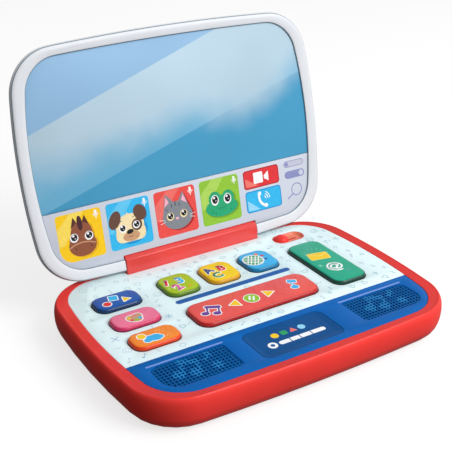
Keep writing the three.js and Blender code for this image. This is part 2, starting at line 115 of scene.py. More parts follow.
class Recipe:
    """The node tree of one material, wired from the Principled shader backwards."""

    def __init__(self, name: str) -> None:
        """Starts an empty material with its shader and its object coordinates.

        Args:
            name: the material's name.
        """
        self.material = bpy.data.materials.new(name)
        self.material.use_nodes = True
        self.nodes = self.material.node_tree.nodes
        self.links = self.material.node_tree.links
        self.shader = self.nodes["Principled BSDF"]
        self.place = self.nodes.new("ShaderNodeTexCoord").outputs["Object"]

    def noise(self, size_mm: float, detail: float = 3.0) -> Socket:
        """A noise whose features are about size_mm across, as its factor socket.

        Args:
            size_mm: the features' size.
            detail: how much finer detail it has.

        Returns:
            The factor socket.
        """
        node = self.nodes.new("ShaderNodeTexNoise")
        node.inputs["Scale"].default_value = 1.0 / (size_mm * MM)
        node.inputs["Detail"].default_value = detail
        self.links.new(self.place, node.inputs["Vector"])
        return node.outputs["Fac"]

    def spread(self, value: Socket, low: float, high: float) -> Socket:
        """The middle of a noise stretched to run from low to high.

        Args:
            value: the noise.
            low: the lowest result.
            high: the highest result.

        Returns:
            The stretched noise.
        """
        return self.ramp(value, 0.3, 0.7, low, high)

    def ramp(self, value: Socket, start: float, end: float, low: float = 0.0,
             high: float = 1.0, smooth: bool = False) -> Socket:
        """A value mapped from one range to another and held inside it.

        Args:
            value: the value.
            start: where the ramp starts.
            end: where it ends.
            low: the result at its start.
            high: the result at its end.
            smooth: whether both ends are eased.

        Returns:
            The mapped value.
        """
        node = self.nodes.new("ShaderNodeMapRange")
        if smooth:
            node.interpolation_type = "SMOOTHSTEP"
        for socket, number in (("From Min", start), ("From Max", end), ("To Min", low), ("To Max", high)):
            node.inputs[socket].default_value = number
        self.links.new(value, node.inputs["Value"])
        return node.outputs["Result"]

    def blend(self, factor: Socket, first: object, second: object) -> Socket:
        """Two colours, or sockets that carry them, mixed by a factor.

        Args:
            factor: 0 for the first and 1 for the second.
            first: a colour or a socket.
            second: a colour or a socket.

        Returns:
            The mixed colour's socket.
        """
        node = self.nodes.new("ShaderNodeMix")
        node.data_type = "RGBA"
        self.links.new(factor, node.inputs["Factor"])
        for socket, given in ((node.inputs[6], first), (node.inputs[7], second)):
            if isinstance(given, tuple):
                socket.default_value = linear(given)
            else:
                self.links.new(given, socket)
        return node.outputs[2]

    def bump(self, height: Socket, depth_mm: float, strength: float = 1.0) -> None:
        """Lets a height pattern tilt the surface by up to depth_mm.

        Args:
            height: the pattern.
            depth_mm: its depth.
            strength: how much of it shows.
        """
        node = self.nodes.new("ShaderNodeBump")
        node.inputs["Strength"].default_value = strength
        node.inputs["Distance"].default_value = depth_mm * MM
        self.links.new(height, node.inputs["Height"])
        self.links.new(node.outputs["Normal"], self.shader.inputs["Normal"])

    def set(self, socket: str, value: float) -> None:
        """Sets one of the shader's own constant sockets."""
        self.shader.inputs[socket].default_value = value

    def feed(self, socket: str, source: Socket) -> None:
        """Wires a pattern into one of the shader's sockets."""
        self.links.new(source, self.shader.inputs[socket])


@dataclass(frozen=True)
class Plastic:
    """Moulded plastic: slight colour drift, uneven gloss and a fine spark-eroded grain."""

    name: str
    colour: Colour
    roughness: float = 0.34
    gloss: float = 0.32
    coat: float = 0.05
    drift: float = 0.035
    grain_mm: float = 0.55
    grain_depth: float = 0.012

    def material(self) -> bpy.types.Material:
        """The finish's material, made once and then shared.

        Returns:
            The material.
        """
        known = bpy.data.materials.get(self.name)
        if known:
            return known
        recipe = Recipe(self.name)
        tone = recipe.spread(recipe.noise(38.0), 0.0, 1.0)
        recipe.feed("Base Color", recipe.blend(
            tone, shade(self.colour, 1.0 - self.drift), shade(self.colour, 1.0 + self.drift)))
        recipe.feed("Roughness", recipe.spread(
            recipe.noise(9.0), self.roughness - 0.05, self.roughness + 0.05))
        recipe.bump(recipe.noise(self.grain_mm, 2.0), self.grain_depth, 0.5)
        recipe.set("Specular IOR Level", self.gloss)
        recipe.set("Coat Weight", self.coat)
        recipe.set("Coat Roughness", 0.22)
        return recipe.material


@dataclass(frozen=True)
class KeyPlastic:
    """A key's glossy plastic with painted shade: its flanks are painted darker than its crown, and darker
    still next to the deck.
    """

    name: str
    crown: Colour
    # The flank colour is painted shade: a darker copy of the crown colour for the key's sides.
    flank: Colour
    crown_z: float = KEY_TOP

    def material(self) -> bpy.types.Material:
        """The key's material, whose colour changes with height over the fillet: painted shade darkens the
        flanks.

        Returns:
            The material.
        """
        known = bpy.data.materials.get(self.name)
        if known:
            return known
        recipe = Recipe(self.name)
        split = recipe.nodes.new("ShaderNodeSeparateXYZ")
        recipe.links.new(recipe.place, split.inputs["Vector"])
        z = split.outputs["Z"]
        rise = recipe.ramp(z, (self.crown_z - 0.65) * MM, (self.crown_z - 0.04) * MM, smooth=True)
        tone = recipe.spread(recipe.noise(16.0), 0.0, 1.0)
        crown = recipe.blend(tone, shade(self.crown, 0.97), shade(self.crown, 1.03))
        # Painted shade: the flank darkens to half its colour over its lowest millimetre, where it meets the
        # deck.
        foot = recipe.ramp(z, (DECK_TOP - 0.1) * MM, (DECK_TOP + 0.9) * MM)
        flank = recipe.blend(foot, shade(self.flank, 0.5), self.flank)
        recipe.feed("Base Color", recipe.blend(rise, flank, crown))
        recipe.feed("Roughness", recipe.spread(recipe.noise(6.0), 0.26, 0.36))
        recipe.set("Specular IOR Level", 0.35)
        recipe.bump(recipe.noise(0.5, 2.0), 0.008, 0.4)
        recipe.set("Coat Weight", 0.1)
        recipe.set("Coat Roughness", 0.18)
        return recipe.material


class Ink(Enum):
    """The printing inks, each by its colour."""

    WHITE = (250, 250, 252)
    RED = (228, 52, 58)
    DARK_RED = (176, 34, 40)
    LIGHT_RED = (240, 122, 112)
    PINK = (240, 105, 160)
    PALE_PINK = (246, 178, 200)
    ORANGE = (250, 135, 45)
    CREAM_ORANGE = (255, 196, 118)
    YELLOW = (255, 205, 20)
    DEEP_YELLOW = (232, 174, 20)
    PALE_YELLOW = (255, 232, 140)
    LIME = (150, 200, 30)
    DEEP_LIME = (118, 165, 28)
    PALE_LIME = (188, 220, 110)
    GREEN = (40, 160, 95)
    DEEP_GREEN = (24, 120, 84)
    FROG = (38, 168, 116)
    CYAN = (50, 185, 238)
    DEEP_CYAN = (18, 146, 214)
    PALE_CYAN = (150, 215, 246)
    SKY = (62, 178, 236)
    BLUE = (24, 92, 168)
    NAVY = (30, 60, 130)
    PURPLE = (112, 66, 150)
    LAVENDER = (150, 160, 214)
    SLATE = (140, 146, 194)
    PALE_SLATE = (204, 208, 226)
    BROWN = (146, 84, 58)
    DARK_BROWN = (88, 48, 42)
    COCOA = (104, 72, 58)
    TAN = (204, 156, 116)
    CREAM = (246, 226, 178)
    CAT_GREY = (132, 137, 145)
    DARK_GREY = (86, 90, 100)
    BLACK = (22, 20, 24)
    PALE_TEAL = (150, 222, 200)
    DOODLE = (190, 216, 222)
    DOODLE_GREY = (204, 212, 226)
    DOODLE_BLUE = (140, 186, 208)
    GRILLE_LIGHT = (10, 128, 198)
    # Painted shade: a darker copy of the notes' blue, for the grille's pits under the notes.
    DEEP_GRILLE = (4, 96, 164)
    BADGE_BLUE = (22, 88, 158)
    PANEL_LAVENDER = (122, 152, 222)
    STRIP_GREY = (198, 200, 216)
    TILE_RED = (236, 78, 72)
    TILE_LIME = (146, 198, 56)
    MANE = (74, 36, 42)
    RAY_TEAL = (110, 212, 176)
    BEAM_YELLOW = (255, 222, 92)
    BEAM_CYAN = (98, 202, 244)
    BEAM_RED = (240, 112, 104)
    BEAM_LIME = (174, 214, 92)


@dataclass(frozen=True)
class InkFilm:
    """A printed ink: almost flat in colour, with the faint mottle of pad printing."""

    ink: Ink

    def material(self) -> bpy.types.Material:
        """The ink's material, made once and then shared.

        Returns:
            The material.
        """
        name = f"ink_{self.ink.name.lower()}"
        known = bpy.data.materials.get(name)
        if known:
            return known
        recipe = Recipe(name)
        tone = recipe.spread(recipe.noise(2.2), 0.0, 1.0)
        recipe.feed("Base Color", recipe.blend(
            tone, shade(self.ink.value, 0.97), shade(self.ink.value, 1.02)))
        recipe.feed("Roughness", recipe.spread(recipe.noise(4.0), 0.36, 0.46))
        recipe.set("Specular IOR Level", 0.3)
        recipe.bump(recipe.noise(0.35, 2.0), 0.004, 0.4)
        return recipe.material


@dataclass(frozen=True)
class Metal:
    """Bright or brushed metal with a grain that follows one axis."""

    name: str
    colour: Colour
    roughness: float = 0.32

    def material(self) -> bpy.types.Material:
        """The metal's material, made once and then shared.

        Returns:
            The material.
        """
        known = bpy.data.materials.get(self.name)
        if known:
            return known
        recipe = Recipe(self.name)
        tone = recipe.spread(recipe.noise(2.0), 0.0, 1.0)
        recipe.feed("Base Color", recipe.blend(tone, shade(self.colour, 0.9), self.colour))
        recipe.feed("Roughness", recipe.spread(
            recipe.noise(0.8), self.roughness - 0.08, self.roughness + 0.1))
        recipe.bump(recipe.noise(0.25, 2.0), 0.006, 0.5)
        recipe.set("Metallic", 1.0)
        return recipe.material


@dataclass(frozen=True)
class BoardFinish:
    """Green solder resist over copper tracks, seen as slightly lighter stripes."""

    name: str = "circuit_board_finish"

    def material(self) -> bpy.types.Material:
        """The board's material.

        Returns:
            The material.
        """
        recipe = Recipe(self.name)
        tracks = recipe.nodes.new("ShaderNodeTexBrick")
        tracks.inputs["Scale"].default_value = 90.0
        tracks.inputs["Mortar Size"].default_value = 0.035
        tracks.inputs["Color1"].default_value = linear((24, 96, 58))
        tracks.inputs["Color2"].default_value = linear((20, 84, 52))
        tracks.inputs["Mortar"].default_value = linear((58, 138, 84))
        recipe.links.new(recipe.place, tracks.inputs["Vector"])
        recipe.feed("Base Color", tracks.outputs["Color"])
        recipe.feed("Roughness", recipe.spread(recipe.noise(3.0), 0.3, 0.45))
        recipe.bump(tracks.outputs["Fac"], 0.03, 0.5)
        return recipe.material


@dataclass(frozen=True)
class PaintedReflectionFilm:
    """The toy mirror's film with a painted reflection: a sky with two slanted sharp edges and a soft cloud
    bank, painted into its colour.
    """

    name: str = "mirror_film"
    high: Colour = (146, 186, 220)
    cloud: Colour = (192, 218, 234)
    middle: Colour = (110, 178, 212)
    low: Colour = (78, 162, 204)

    def slope(self, recipe: Recipe, flat: Socket, rise: float, height_mm: float,
              soft_mm: float, wobble: Socket | None = None) -> Socket:
        """How far a point is above a slanted line, as 0 below it and 1 above it.

        Args:
            recipe: the material's node tree.
            flat: the point in the lid's own frame.
            rise: the line's rise for each unit across.
            height_mm: the line's height at the lid's middle.
            soft_mm: how wide the change from 0 to 1 is.
            wobble: a pattern in metres that is added to the height.

        Returns:
            The factor's socket.
        """
        split = recipe.nodes.new("ShaderNodeSeparateXYZ")
        recipe.links.new(flat, split.inputs["Vector"])
        across = recipe.nodes.new("ShaderNodeMath")
        across.operation = "MULTIPLY_ADD"
        across.inputs[1].default_value = -rise
        recipe.links.new(split.outputs["X"], across.inputs[0])
        recipe.links.new(split.outputs["Y"], across.inputs[2])
        above = across.outputs[0]
        if wobble is not None:
            moved = recipe.nodes.new("ShaderNodeMath")
            moved.operation = "ADD"
            recipe.links.new(above, moved.inputs[0])
            recipe.links.new(wobble, moved.inputs[1])
            above = moved.outputs[0]
        start, end = (height_mm - soft_mm / 2) * MM, (height_mm + soft_mm / 2) * MM
        return recipe.ramp(above, start, end, smooth=True)

    def material(self) -> bpy.types.Material:
        """The film's material, its painted reflection drawn in the lid's own flat frame.

        Returns:
            The material.
        """
        recipe = Recipe(self.name)
        turn = recipe.nodes.new("ShaderNodeMapping")
        turn.vector_type = "TEXTURE"
        turn.inputs["Location"].default_value = lid_place().translation
        turn.inputs["Rotation"].default_value = (math.radians(LID_TILT), 0.0, 0.0)
        recipe.links.new(recipe.place, turn.inputs["Vector"])
        flat = turn.outputs["Vector"]
        cloud_noise = recipe.spread(recipe.noise(75.0, 3.0), -11.0 * MM, 11.0 * MM)
        soft_noise = recipe.spread(recipe.noise(95.0, 2.0), 0.0, 1.0)
        above_low = self.slope(recipe, flat, 0.29, 78.3, 0.8)
        above_cloud = self.slope(recipe, flat, 0.13, 91.0, 34.0, cloud_noise)
        above_high = self.slope(recipe, flat, 0.33, 136.1, 0.8)
        deep = recipe.blend(soft_noise, self.low, shade(self.low, 0.96))
        middle = recipe.blend(soft_noise, self.middle, shade(self.middle, 1.04))
        cloud = recipe.blend(soft_noise, self.cloud, shade(self.cloud, 0.94))
        high = recipe.blend(soft_noise, self.high, shade(self.high, 1.03))
        # Painted reflection: the sky's bands, its cloud bank and the slanted edges between them are painted
        # into the mirror's colour.
        picture = recipe.blend(above_low, deep, middle)
        picture = recipe.blend(above_cloud, picture, cloud)
        picture = recipe.blend(above_high, picture, high)
        recipe.feed("Base Color", picture)
        recipe.feed("Roughness", recipe.spread(recipe.noise(30.0), 0.34, 0.4))
        recipe.bump(recipe.noise(60.0, 1.0), 0.02, 0.3)
        recipe.set("Specular IOR Level", 0.12)
        return recipe.material


Finish = Plastic | KeyPlastic | InkFilm | Metal | BoardFinish | PaintedReflectionFilm

RED = Plastic("red_plastic", (246, 60, 54), roughness=0.36, gloss=0.2)
BAR = Plastic("bar_plastic", (230, 66, 62), roughness=0.22, gloss=0.5, coat=0.3)
# Painted shade: a darker copy of the red, for the rim's flat top.
RIM_TOP_SHADE = Plastic("rim_plastic", (222, 50, 45), roughness=0.38, gloss=0.2)
PALE = Plastic("pale_plastic", (230, 250, 253), roughness=0.42, gloss=0.2, drift=0.012)
PANEL = Plastic("panel_plastic", (0, 96, 176), roughness=0.42, gloss=0.12, coat=0.0, drift=0.02)
GRILLE = Plastic("grille_plastic", (0, 88, 156), roughness=0.45, gloss=0.1, coat=0.0)
# Painted shade: a dark copy of the grille blue for the walls and floors of its blind holes.
PIT_SHADE = Plastic("grille_pit_plastic", (2, 52, 104), roughness=0.6, gloss=0.1, coat=0.0)
BADGE = Plastic("badge_plastic", (0, 76, 138), roughness=0.4, gloss=0.14, coat=0.0, drift=0.03)
GREY = Plastic("lid_plastic", (226, 229, 234), roughness=0.34, gloss=0.3, drift=0.01)
# Painted shade: a dark grey for the window's inner wall.
EDGE = Plastic("window_edge_plastic", (118, 138, 150), roughness=0.5, gloss=0.1)
STRIP = Plastic("strip_plastic", (206, 212, 224), roughness=0.34, gloss=0.2, drift=0.01)
DISH = Plastic("dish_plastic", (232, 128, 98), roughness=0.35)
SILICONE = Plastic("silicone_rubber", (222, 222, 216), roughness=0.6, coat=0.0, grain_mm=0.9)
BLACK = Plastic("black_plastic", (32, 32, 34), roughness=0.5, coat=0.0)
SLEEVE = Plastic("cell_sleeve_film", (58, 62, 72), roughness=0.28, coat=0.3)
LEAD = Plastic("lead_insulation", (176, 28, 30), roughness=0.42, coat=0.05)
STEEL = Metal("zinc_plated_steel", (196, 196, 192))


# ---- bench


def clear_bench() -> None:
    """Leaves edit mode and deselects everything."""
    if bpy.context.object and bpy.context.object.mode != "OBJECT":
        bpy.ops.object.mode_set(mode="OBJECT")
    bpy.ops.object.select_all(action="DESELECT")


def pick(obj: Piece) -> None:
    """Makes one object the only one selected, and the active one.

    Args:
        obj: the object.
    """
    clear_bench()
    obj.select_set(True)
    bpy.context.view_layer.objects.active = obj


def mm(*values: float) -> tuple[float, ...]:
    """Millimetres as metres."""
    return tuple(v * MM for v in values)


def lid_place() -> Matrix:
    """Where the lid's own flat frame lies at rest: tilted back about the hinge.

    Returns:
        The place.
    """
    turn = Matrix.Rotation(math.radians(LID_TILT), 4, "X")
    hinge = Vector(mm(0.0, HINGE_Y, HINGE_Z))
    shift = hinge - turn @ Vector(mm(0.0, HINGE_ON_LID_Y, HINGE_ON_LID_Z))
    return Matrix.Translation(shift) @ turn


class Workpiece:
    """One mesh object that is being shaped in edit mode, with its sizes in millimetres."""

    def __init__(self, name: str) -> None:
        """Starts an empty mesh in edit mode.

        Args:
            name: the piece's name.
        """
        clear_bench()
        bpy.ops.mesh.primitive_plane_add(size=MM)
        self.obj = bpy.context.object
        self.obj.name = name
        self.obj.data.name = name
        bpy.ops.object.mode_set(mode="EDIT")
        bpy.ops.mesh.select_mode(type="VERT")
        self.everything()
        bpy.ops.mesh.delete(type="VERT")

    def everything(self) -> None:
        """Selects the whole mesh."""
        bpy.ops.mesh.select_all(action="SELECT")

    def choose(self, test: Callable[[Vector], bool], mode: str = "VERT") -> None:
        """Selects the vertices, edges or faces whose middle passes a test in millimetres.

        Args:
            test: takes a middle and says whether that element is selected.
            mode: VERT, EDGE or FACE.
        """
        bpy.ops.mesh.select_mode(type=mode)
        bpy.ops.mesh.select_all(action="DESELECT")
        cage = bmesh.from_edit_mesh(self.obj.data)
        if mode == "VERT":
            chosen = [(v, v.co) for v in cage.verts]
        elif mode == "EDGE":
            chosen = [(e, (e.verts[0].co + e.verts[1].co) / 2) for e in cage.edges]
        else:
            chosen = [(f, f.calc_center_median()) for f in cage.faces]
        for element, middle in chosen:
            if test(middle / MM):
                element.select_set(True)
        cage.select_flush_mode()
        bmesh.update_edit_mesh(self.obj.data)

    def dot(self, x: float, y: float, z: float) -> None:
        """Adds one selected vertex."""
        bpy.ops.mesh.primitive_plane_add(size=MM, location=mm(x, y, z))
        bpy.ops.mesh.merge(type="CENTER")

    def step(self, dx: float, dy: float, dz: float) -> None:
        """Extrudes what is selected by a step."""
        bpy.ops.mesh.extrude_region_move(TRANSFORM_OT_translate={"value": mm(dx, dy, dz)})

    def sweep(self, degrees: float, centre: Sequence[float], steps: int,
              axis: tuple[float, float, float] = (0.0, 0.0, 1.0)) -> None:
        """Spins what is selected about an axis; positive turns anticlockwise about it."""
        bpy.ops.mesh.spin(steps=steps, angle=-math.radians(degrees), center=mm(*centre), axis=axis)

    def weld(self) -> None:
        """Merges the selected vertices that lie on each other."""
        bpy.ops.mesh.remove_doubles(threshold=0.004 * MM)

    def plate(self, x: float, y: float, half_x: float, half_y: float, z: float, corner: float = 0.0,
              steps: int = 8, turn: float = 0.0) -> None:
        """Adds a flat rectangle with rounded corners, left selected.

        Args:
            x: middle across.
            y: middle along.
            half_x: half its width.
            half_y: half its length.
            z: its height.
            corner: the corners' radius.
            steps: edges in each corner.
            turn: degrees anticlockwise.
        """
        at = mm(x, y, z)
        bpy.ops.mesh.primitive_plane_add(size=2 * MM, location=at)
        bpy.ops.transform.resize(value=(half_x, half_y, 1.0), center_override=at)
        if corner:
            radius = min(corner, min(half_x, half_y) * 0.999)
            bpy.ops.mesh.bevel(offset=radius * MM, segments=steps, affect="VERTICES")
            bpy.ops.mesh.remove_doubles(threshold=0.03 * MM)
        self.turn(turn, at)

    def disc(self, x: float, y: float, radius_x: float, radius_y: float, z: float, sides: int = 32,
             turn: float = 0.0) -> None:
        """Adds a flat disc, oval or regular polygon, left selected.

        Args:
            x: middle across.
            y: middle along.
            radius_x: radius across.
            radius_y: radius along.
            z: its height.
            sides: how many sides.
            turn: degrees anticlockwise.
        """
        at = mm(x, y, z)
        bpy.ops.mesh.primitive_circle_add(vertices=sides, radius=MM, fill_type="NGON", location=at)
        bpy.ops.transform.resize(value=(radius_x, radius_y, 1.0), center_override=at)
        self.turn(turn, at)

    def turn(self, degrees: float, at: Sequence[float]) -> None:
        """Turns what is selected anticlockwise about a point in metres."""
        if degrees:
            bpy.ops.transform.rotate(value=-math.radians(degrees), orient_axis="Z", center_override=at)

    def path(self, points: Sequence[Sequence[float]]) -> None:
        """Draws a line through points and leaves its last vertex selected.

        Args:
            points: their places in millimetres, in order.
        """
        self.dot(*points[0])
        for start, end in zip(points, points[1:]):
            self.step(*(b - a for a, b in zip(start, end)))

    def close(self) -> None:
        """Welds a drawn outline and fills it with one face, left selected."""
        bpy.ops.mesh.select_linked()
        self.weld()
        bpy.ops.mesh.edge_face_add()

    def inset(self, width: float, depth: float = 0.0, each: bool = False) -> None:
        """Insets the selected faces, and moves what is inside by depth along its normal."""
        bpy.ops.mesh.inset(thickness=width * MM, depth=depth * MM, use_individual=each)

    def paint(self, finish: Finish) -> None:
        """Gives the selected faces a finish.

        Args:
            finish: anything with a material method.
        """
        material = finish.material()
        slots = self.obj.data.materials
        if material.name not in slots:
            slots.append(material)
        self.obj.active_material_index = slots.find(material.name)
        bpy.ops.object.material_slot_assign()

    def outward(self) -> None:
        """Turns every face outwards."""
        self.everything()
        bpy.ops.mesh.normals_make_consistent(inside=False)

    def done(self, smooth: float = 40.0, place: Matrix | None = None) -> Piece:
        """Ends the work: faces outwards, smooth shading, and the piece put in its place.

        Args:
            smooth: edges sharper than this many degrees stay sharp.
            place: where the piece goes, if it was made flat elsewhere.

        Returns:
            The finished object.
        """
        self.outward()
        clear_bench()
        return settle(self.obj, smooth, place)


def settle(obj: Piece, smooth: float = 40.0, place: Matrix | None = None) -> Piece:
    """Puts a modelled object in its place, applies that place and smooths its shading.

    Args:
        obj: the object.
        smooth: edges sharper than this angle in degrees stay sharp, 0 for flat.
        place: its place, if it was modelled elsewhere.

    Returns:
        The object.
    """
    pick(obj)
    if place is not None:
        obj.matrix_world = place
    bpy.ops.object.transform_apply(location=True, rotation=True, scale=True)
    if smooth:
        bpy.ops.object.shade_smooth_by_angle(angle=math.radians(smooth))
    return obj


def level(obj: Piece) -> Piece:
    """Keeps the shading of large flat faces flat, by weighing the normals by area.

    Args:
        obj: the piece.

    Returns:
        The piece.
    """
    pick(obj)
    bpy.ops.object.modifier_add(type="WEIGHTED_NORMAL")
    modifier = obj.modifiers[-1]
    modifier.weight = 100
    modifier.keep_sharp = True
    bpy.ops.object.modifier_apply(modifier=modifier.name)
    return obj


def carve(obj: Piece, tool: Piece, how: str = "DIFFERENCE") -> Piece:
    """Cuts, joins or keeps a piece by a tool, which is used up.

    Args:
        obj: the piece.
        tool: a closed mesh.
        how: DIFFERENCE, UNION or INTERSECT.

    Returns:
        The piece.
    """
    pick(obj)
    bpy.ops.object.modifier_add(type="BOOLEAN")
    modifier = obj.modifiers[-1]
    modifier.operation = how
    modifier.solver = "EXACT"
    modifier.object = tool
    bpy.ops.object.modifier_apply(modifier=modifier.name)
    bpy.data.objects.remove(tool, do_unlink=True)
    return obj


def soften(obj: Piece, width: float, segments: int = 2, angle: float = 40.0) -> Piece:
    """Rounds every edge sharper than an angle by a width in millimetres.

    Args:
        obj: the piece.
        width: the rounding's width.
        segments: its steps.
        angle: the angle in degrees.

    Returns:
        The piece.
    """
    pick(obj)
    bpy.ops.object.modifier_add(type="BEVEL")
    modifier = obj.modifiers[-1]
    modifier.width = width * MM
    modifier.segments = segments
    modifier.limit_method = "ANGLE"
    modifier.angle_limit = math.radians(angle)
    modifier.use_clamp_overlap = True
    bpy.ops.object.modifier_apply(modifier=modifier.name)
    return obj


def coat(obj: Piece, *finishes: Finish) -> Piece:
    """Gives a piece its finishes, in the order of its material slots.

    Args:
        obj: the piece.
        finishes: the finishes.

    Returns:
        The piece.
    """
    obj.data.materials.clear()
    for finish in finishes:
        obj.data.materials.append(finish.material())
    return obj


def join(pieces: Sequence[Piece]) -> Piece:
    """Joins several objects into the first.

    Args:
        pieces: the objects.

    Returns:
        The joined object.
    """
    pick(pieces[0])
    for piece in pieces[1:]:
        piece.select_set(True)
    bpy.ops.object.join()
    return bpy.context.object


def copy_of(node: str, name: str, bevel: float = 0.25) -> Piece:
    """A refined copy of a CAD node: merged, cleaned of its triangles and with its edges rounded.

    Args:
        node: the CAD node's name.
        name: the new piece's name.
        bevel: how far its edges are rounded.

    Returns:
        The new object.
    """
    source = frame["nodes"][node]
    obj = source.copy()
    obj.data = source.data.copy()
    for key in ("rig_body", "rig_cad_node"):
        if key in obj:
            del obj[key]
    obj.parent = None
    obj.name = name
    obj.data.name = name
    bpy.context.scene.collection.objects.link(obj)
    pick(obj)
    bpy.ops.object.mode_set(mode="EDIT")
    bpy.ops.mesh.select_all(action="SELECT")
    bpy.ops.mesh.remove_doubles(threshold=0.002 * MM)
    bpy.ops.mesh.dissolve_limited(angle_limit=math.radians(0.6))
    bpy.ops.object.mode_set(mode="OBJECT")
    if bevel:
        soften(obj, bevel, 2, 45.0)
    pick(obj)
    bpy.ops.object.shade_smooth_by_angle(angle=math.radians(38.0))
    return obj


def install(obj: Piece, body: str, slot: str, *nodes: str) -> Piece:
    """Hands a finished piece to the frame and reports it.

    Args:
        obj: the piece.
        body: the body that it rides on.
        slot: the record's slot that its finish comes from; not used.
        nodes: the CAD nodes that it stands for.

    Returns:
        The piece.
    """
    clear_bench()
    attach(obj, body)
    if nodes:
        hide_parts(*nodes)
    LOG.info("%s on %s, %d faces", obj.name, body, len(obj.data.polygons))
    return obj


# ---- outlines


@dataclass(frozen=True)
class Bowed:
    """A rounded rectangle whose four sides are long arcs, tangent to its corner arcs."""

    half_x: float
    half_y: float
    side_radius: float
    end_radius: float
    corner: float
    middle_y: float = 0.0

    def inset(self, by: float) -> "Bowed":
        """The outline moved inwards, or outwards below 0."""
        return Bowed(self.half_x - by, self.half_y - by, self.side_radius - by, self.end_radius - by,
                     self.corner - by, self.middle_y)

    def corner_centre(self) -> Point:
        """The centre of the corner arc in the first quarter, from the outline's middle.

        Returns:
            Its place.
        """
        side, end = self.half_x - self.side_radius, self.half_y - self.end_radius
        reach_side, reach_end = self.side_radius - self.corner, self.end_radius - self.corner
        apart = math.hypot(side, end)
        along = (reach_side**2 - reach_end**2 + apart**2) / (2 * apart)
        off = math.sqrt(reach_side**2 - along**2)
        ux, uy = -side / apart, end / apart
        return side + along * ux - off * uy, along * uy + off * ux

    def draw(self, work: Workpiece, z: float, corner_steps: int = 14, side_steps: int = 6,
             end_steps: int = 8) -> None:
        """Draws the outline at a height as one closed loop, left selected.

        Args:
            work: what it is drawn in.
            z: the height.
            corner_steps: the steps in each corner.
            side_steps: the steps in each left and right side.
            end_steps: the steps in each front and back side.
        """
        side, end = self.half_x - self.side_radius, self.half_y - self.end_radius
        cx, cy = self.corner_centre()
        y = self.middle_y
        low = math.degrees(math.atan2(cy, cx - side))
        high = math.degrees(math.atan2(cy - end, cx))
        work.dot(self.half_x, y, z)
        work.sweep(low, (side, y, z), side_steps)
        work.sweep(high - low, (cx, y + cy, z), corner_steps)
        work.sweep(2 * (90 - high), (0, y + end, z), 2 * end_steps)
        work.sweep(high - low, (-cx, y + cy, z), corner_steps)
        work.sweep(2 * low, (-side, y, z), 2 * side_steps)
        work.sweep(high - low, (-cx, y - cy, z), corner_steps)
        work.sweep(2 * (90 - high), (0, y - end, z), 2 * end_steps)
        work.sweep(high - low, (cx, y - cy, z), corner_steps)
        work.sweep(low, (side, y, z), side_steps)
        bpy.ops.mesh.select_linked()
        work.weld()


BASE = Bowed(119.6, 84.1, 541, 1524, 35.7)
RIM_INNER = Bowed(110, 76.8, 405, 3080, 28.1, 0.9)
LID = Bowed(118.5, 82.05, 443, 1523, 32.6, 75.75)
WINDOW = Bowed(109.5, 73.6, 314, 2097, 25.1, 76.3)


class Loft:
    """A skin drawn through a stack of rings, each bridged to the one before."""

    apart = 80.0

    def __init__(self, name: str) -> None:
        """Starts the skin.

        Args:
            name: the piece's name.
        """
        self.work = Workpiece(name)
        self.count = 0

    def group(self, index: int) -> bpy.types.VertexGroup:
        """Makes the group of one ring's vertices the active one.

        Args:
            index: the ring's number.

        Returns:
            The group.
        """
        groups = self.work.obj.vertex_groups
        found = groups.get(f"ring{index}") or groups.new(name=f"ring{index}")
        groups.active_index = found.index
        return found

    def ring(self, outline: Bowed, z: float) -> None:
        """Draws a ring and bridges it to the last one.

        Args:
            outline: the ring's outline.
            z: its height.
        """
        outline.draw(self.work, z)
        self.group(self.count)
        bpy.ops.object.vertex_group_assign()
        self.count += 1
        if self.count > 1:
            self.bridge(self.count - 2, self.count - 1)

    def lift(self, index: int, by: float) -> None:
        """Moves one ring up.

        Args:
            index: the ring's number.
            by: how far.
        """
        bpy.ops.mesh.select_all(action="DESELECT")
        self.group(index)
        bpy.ops.object.vertex_group_select()
        bpy.ops.transform.translate(value=mm(0, 0, by))

    def bridge(self, first: int, second: int) -> None:
        """Bridges two rings, held far apart meanwhile so that their corners pair up squarely.

        Args:
            first: one ring's number.
            second: the other's.
        """
        self.lift(second, self.apart)
        self.group(first)
        bpy.ops.object.vertex_group_select()
        bpy.ops.mesh.bridge_edge_loops()
        self.lift(second, -self.apart)

    def cap(self, index: int) -> None:
        """Fills a ring with one face.

        Args:
            index: the ring's number.
        """
        bpy.ops.mesh.select_all(action="DESELECT")
        self.group(index)
        bpy.ops.object.vertex_group_select()
        bpy.ops.mesh.edge_face_add()

    def finish(self, closed: bool, smooth: float = 40.0, place: Matrix | None = None) -> Piece:
        """Ends the skin, either by joining its last ring to its first or by filling both.

        Args:
            closed: whether the last ring meets the first.
            smooth: edges sharper than this stay sharp.
            place: where the piece goes.

        Returns:
            The finished object.
        """
        if closed:
            self.bridge(self.count - 1, 0)
        else:
            self.cap(0)
            self.cap(self.count - 1)
        obj = self.work.done(smooth, place)
        obj.vertex_groups.clear()
        return obj


def skin(name: str, rings: Iterable[tuple[Bowed, float, float]], closed: bool,
         smooth: float = 40.0) -> Piece:
    """A loft through rings given as outline, inset and height.

    Args:
        name: the piece's name.
        rings: the rings in order.
        closed: whether the last ring meets the first.
        smooth: the sharp angle in degrees.

    Returns:
        The piece.
    """
    loft = Loft(name)
    for outline, by, z in rings:
        loft.ring(outline.inset(by), z)
    return loft.finish(closed, smooth)


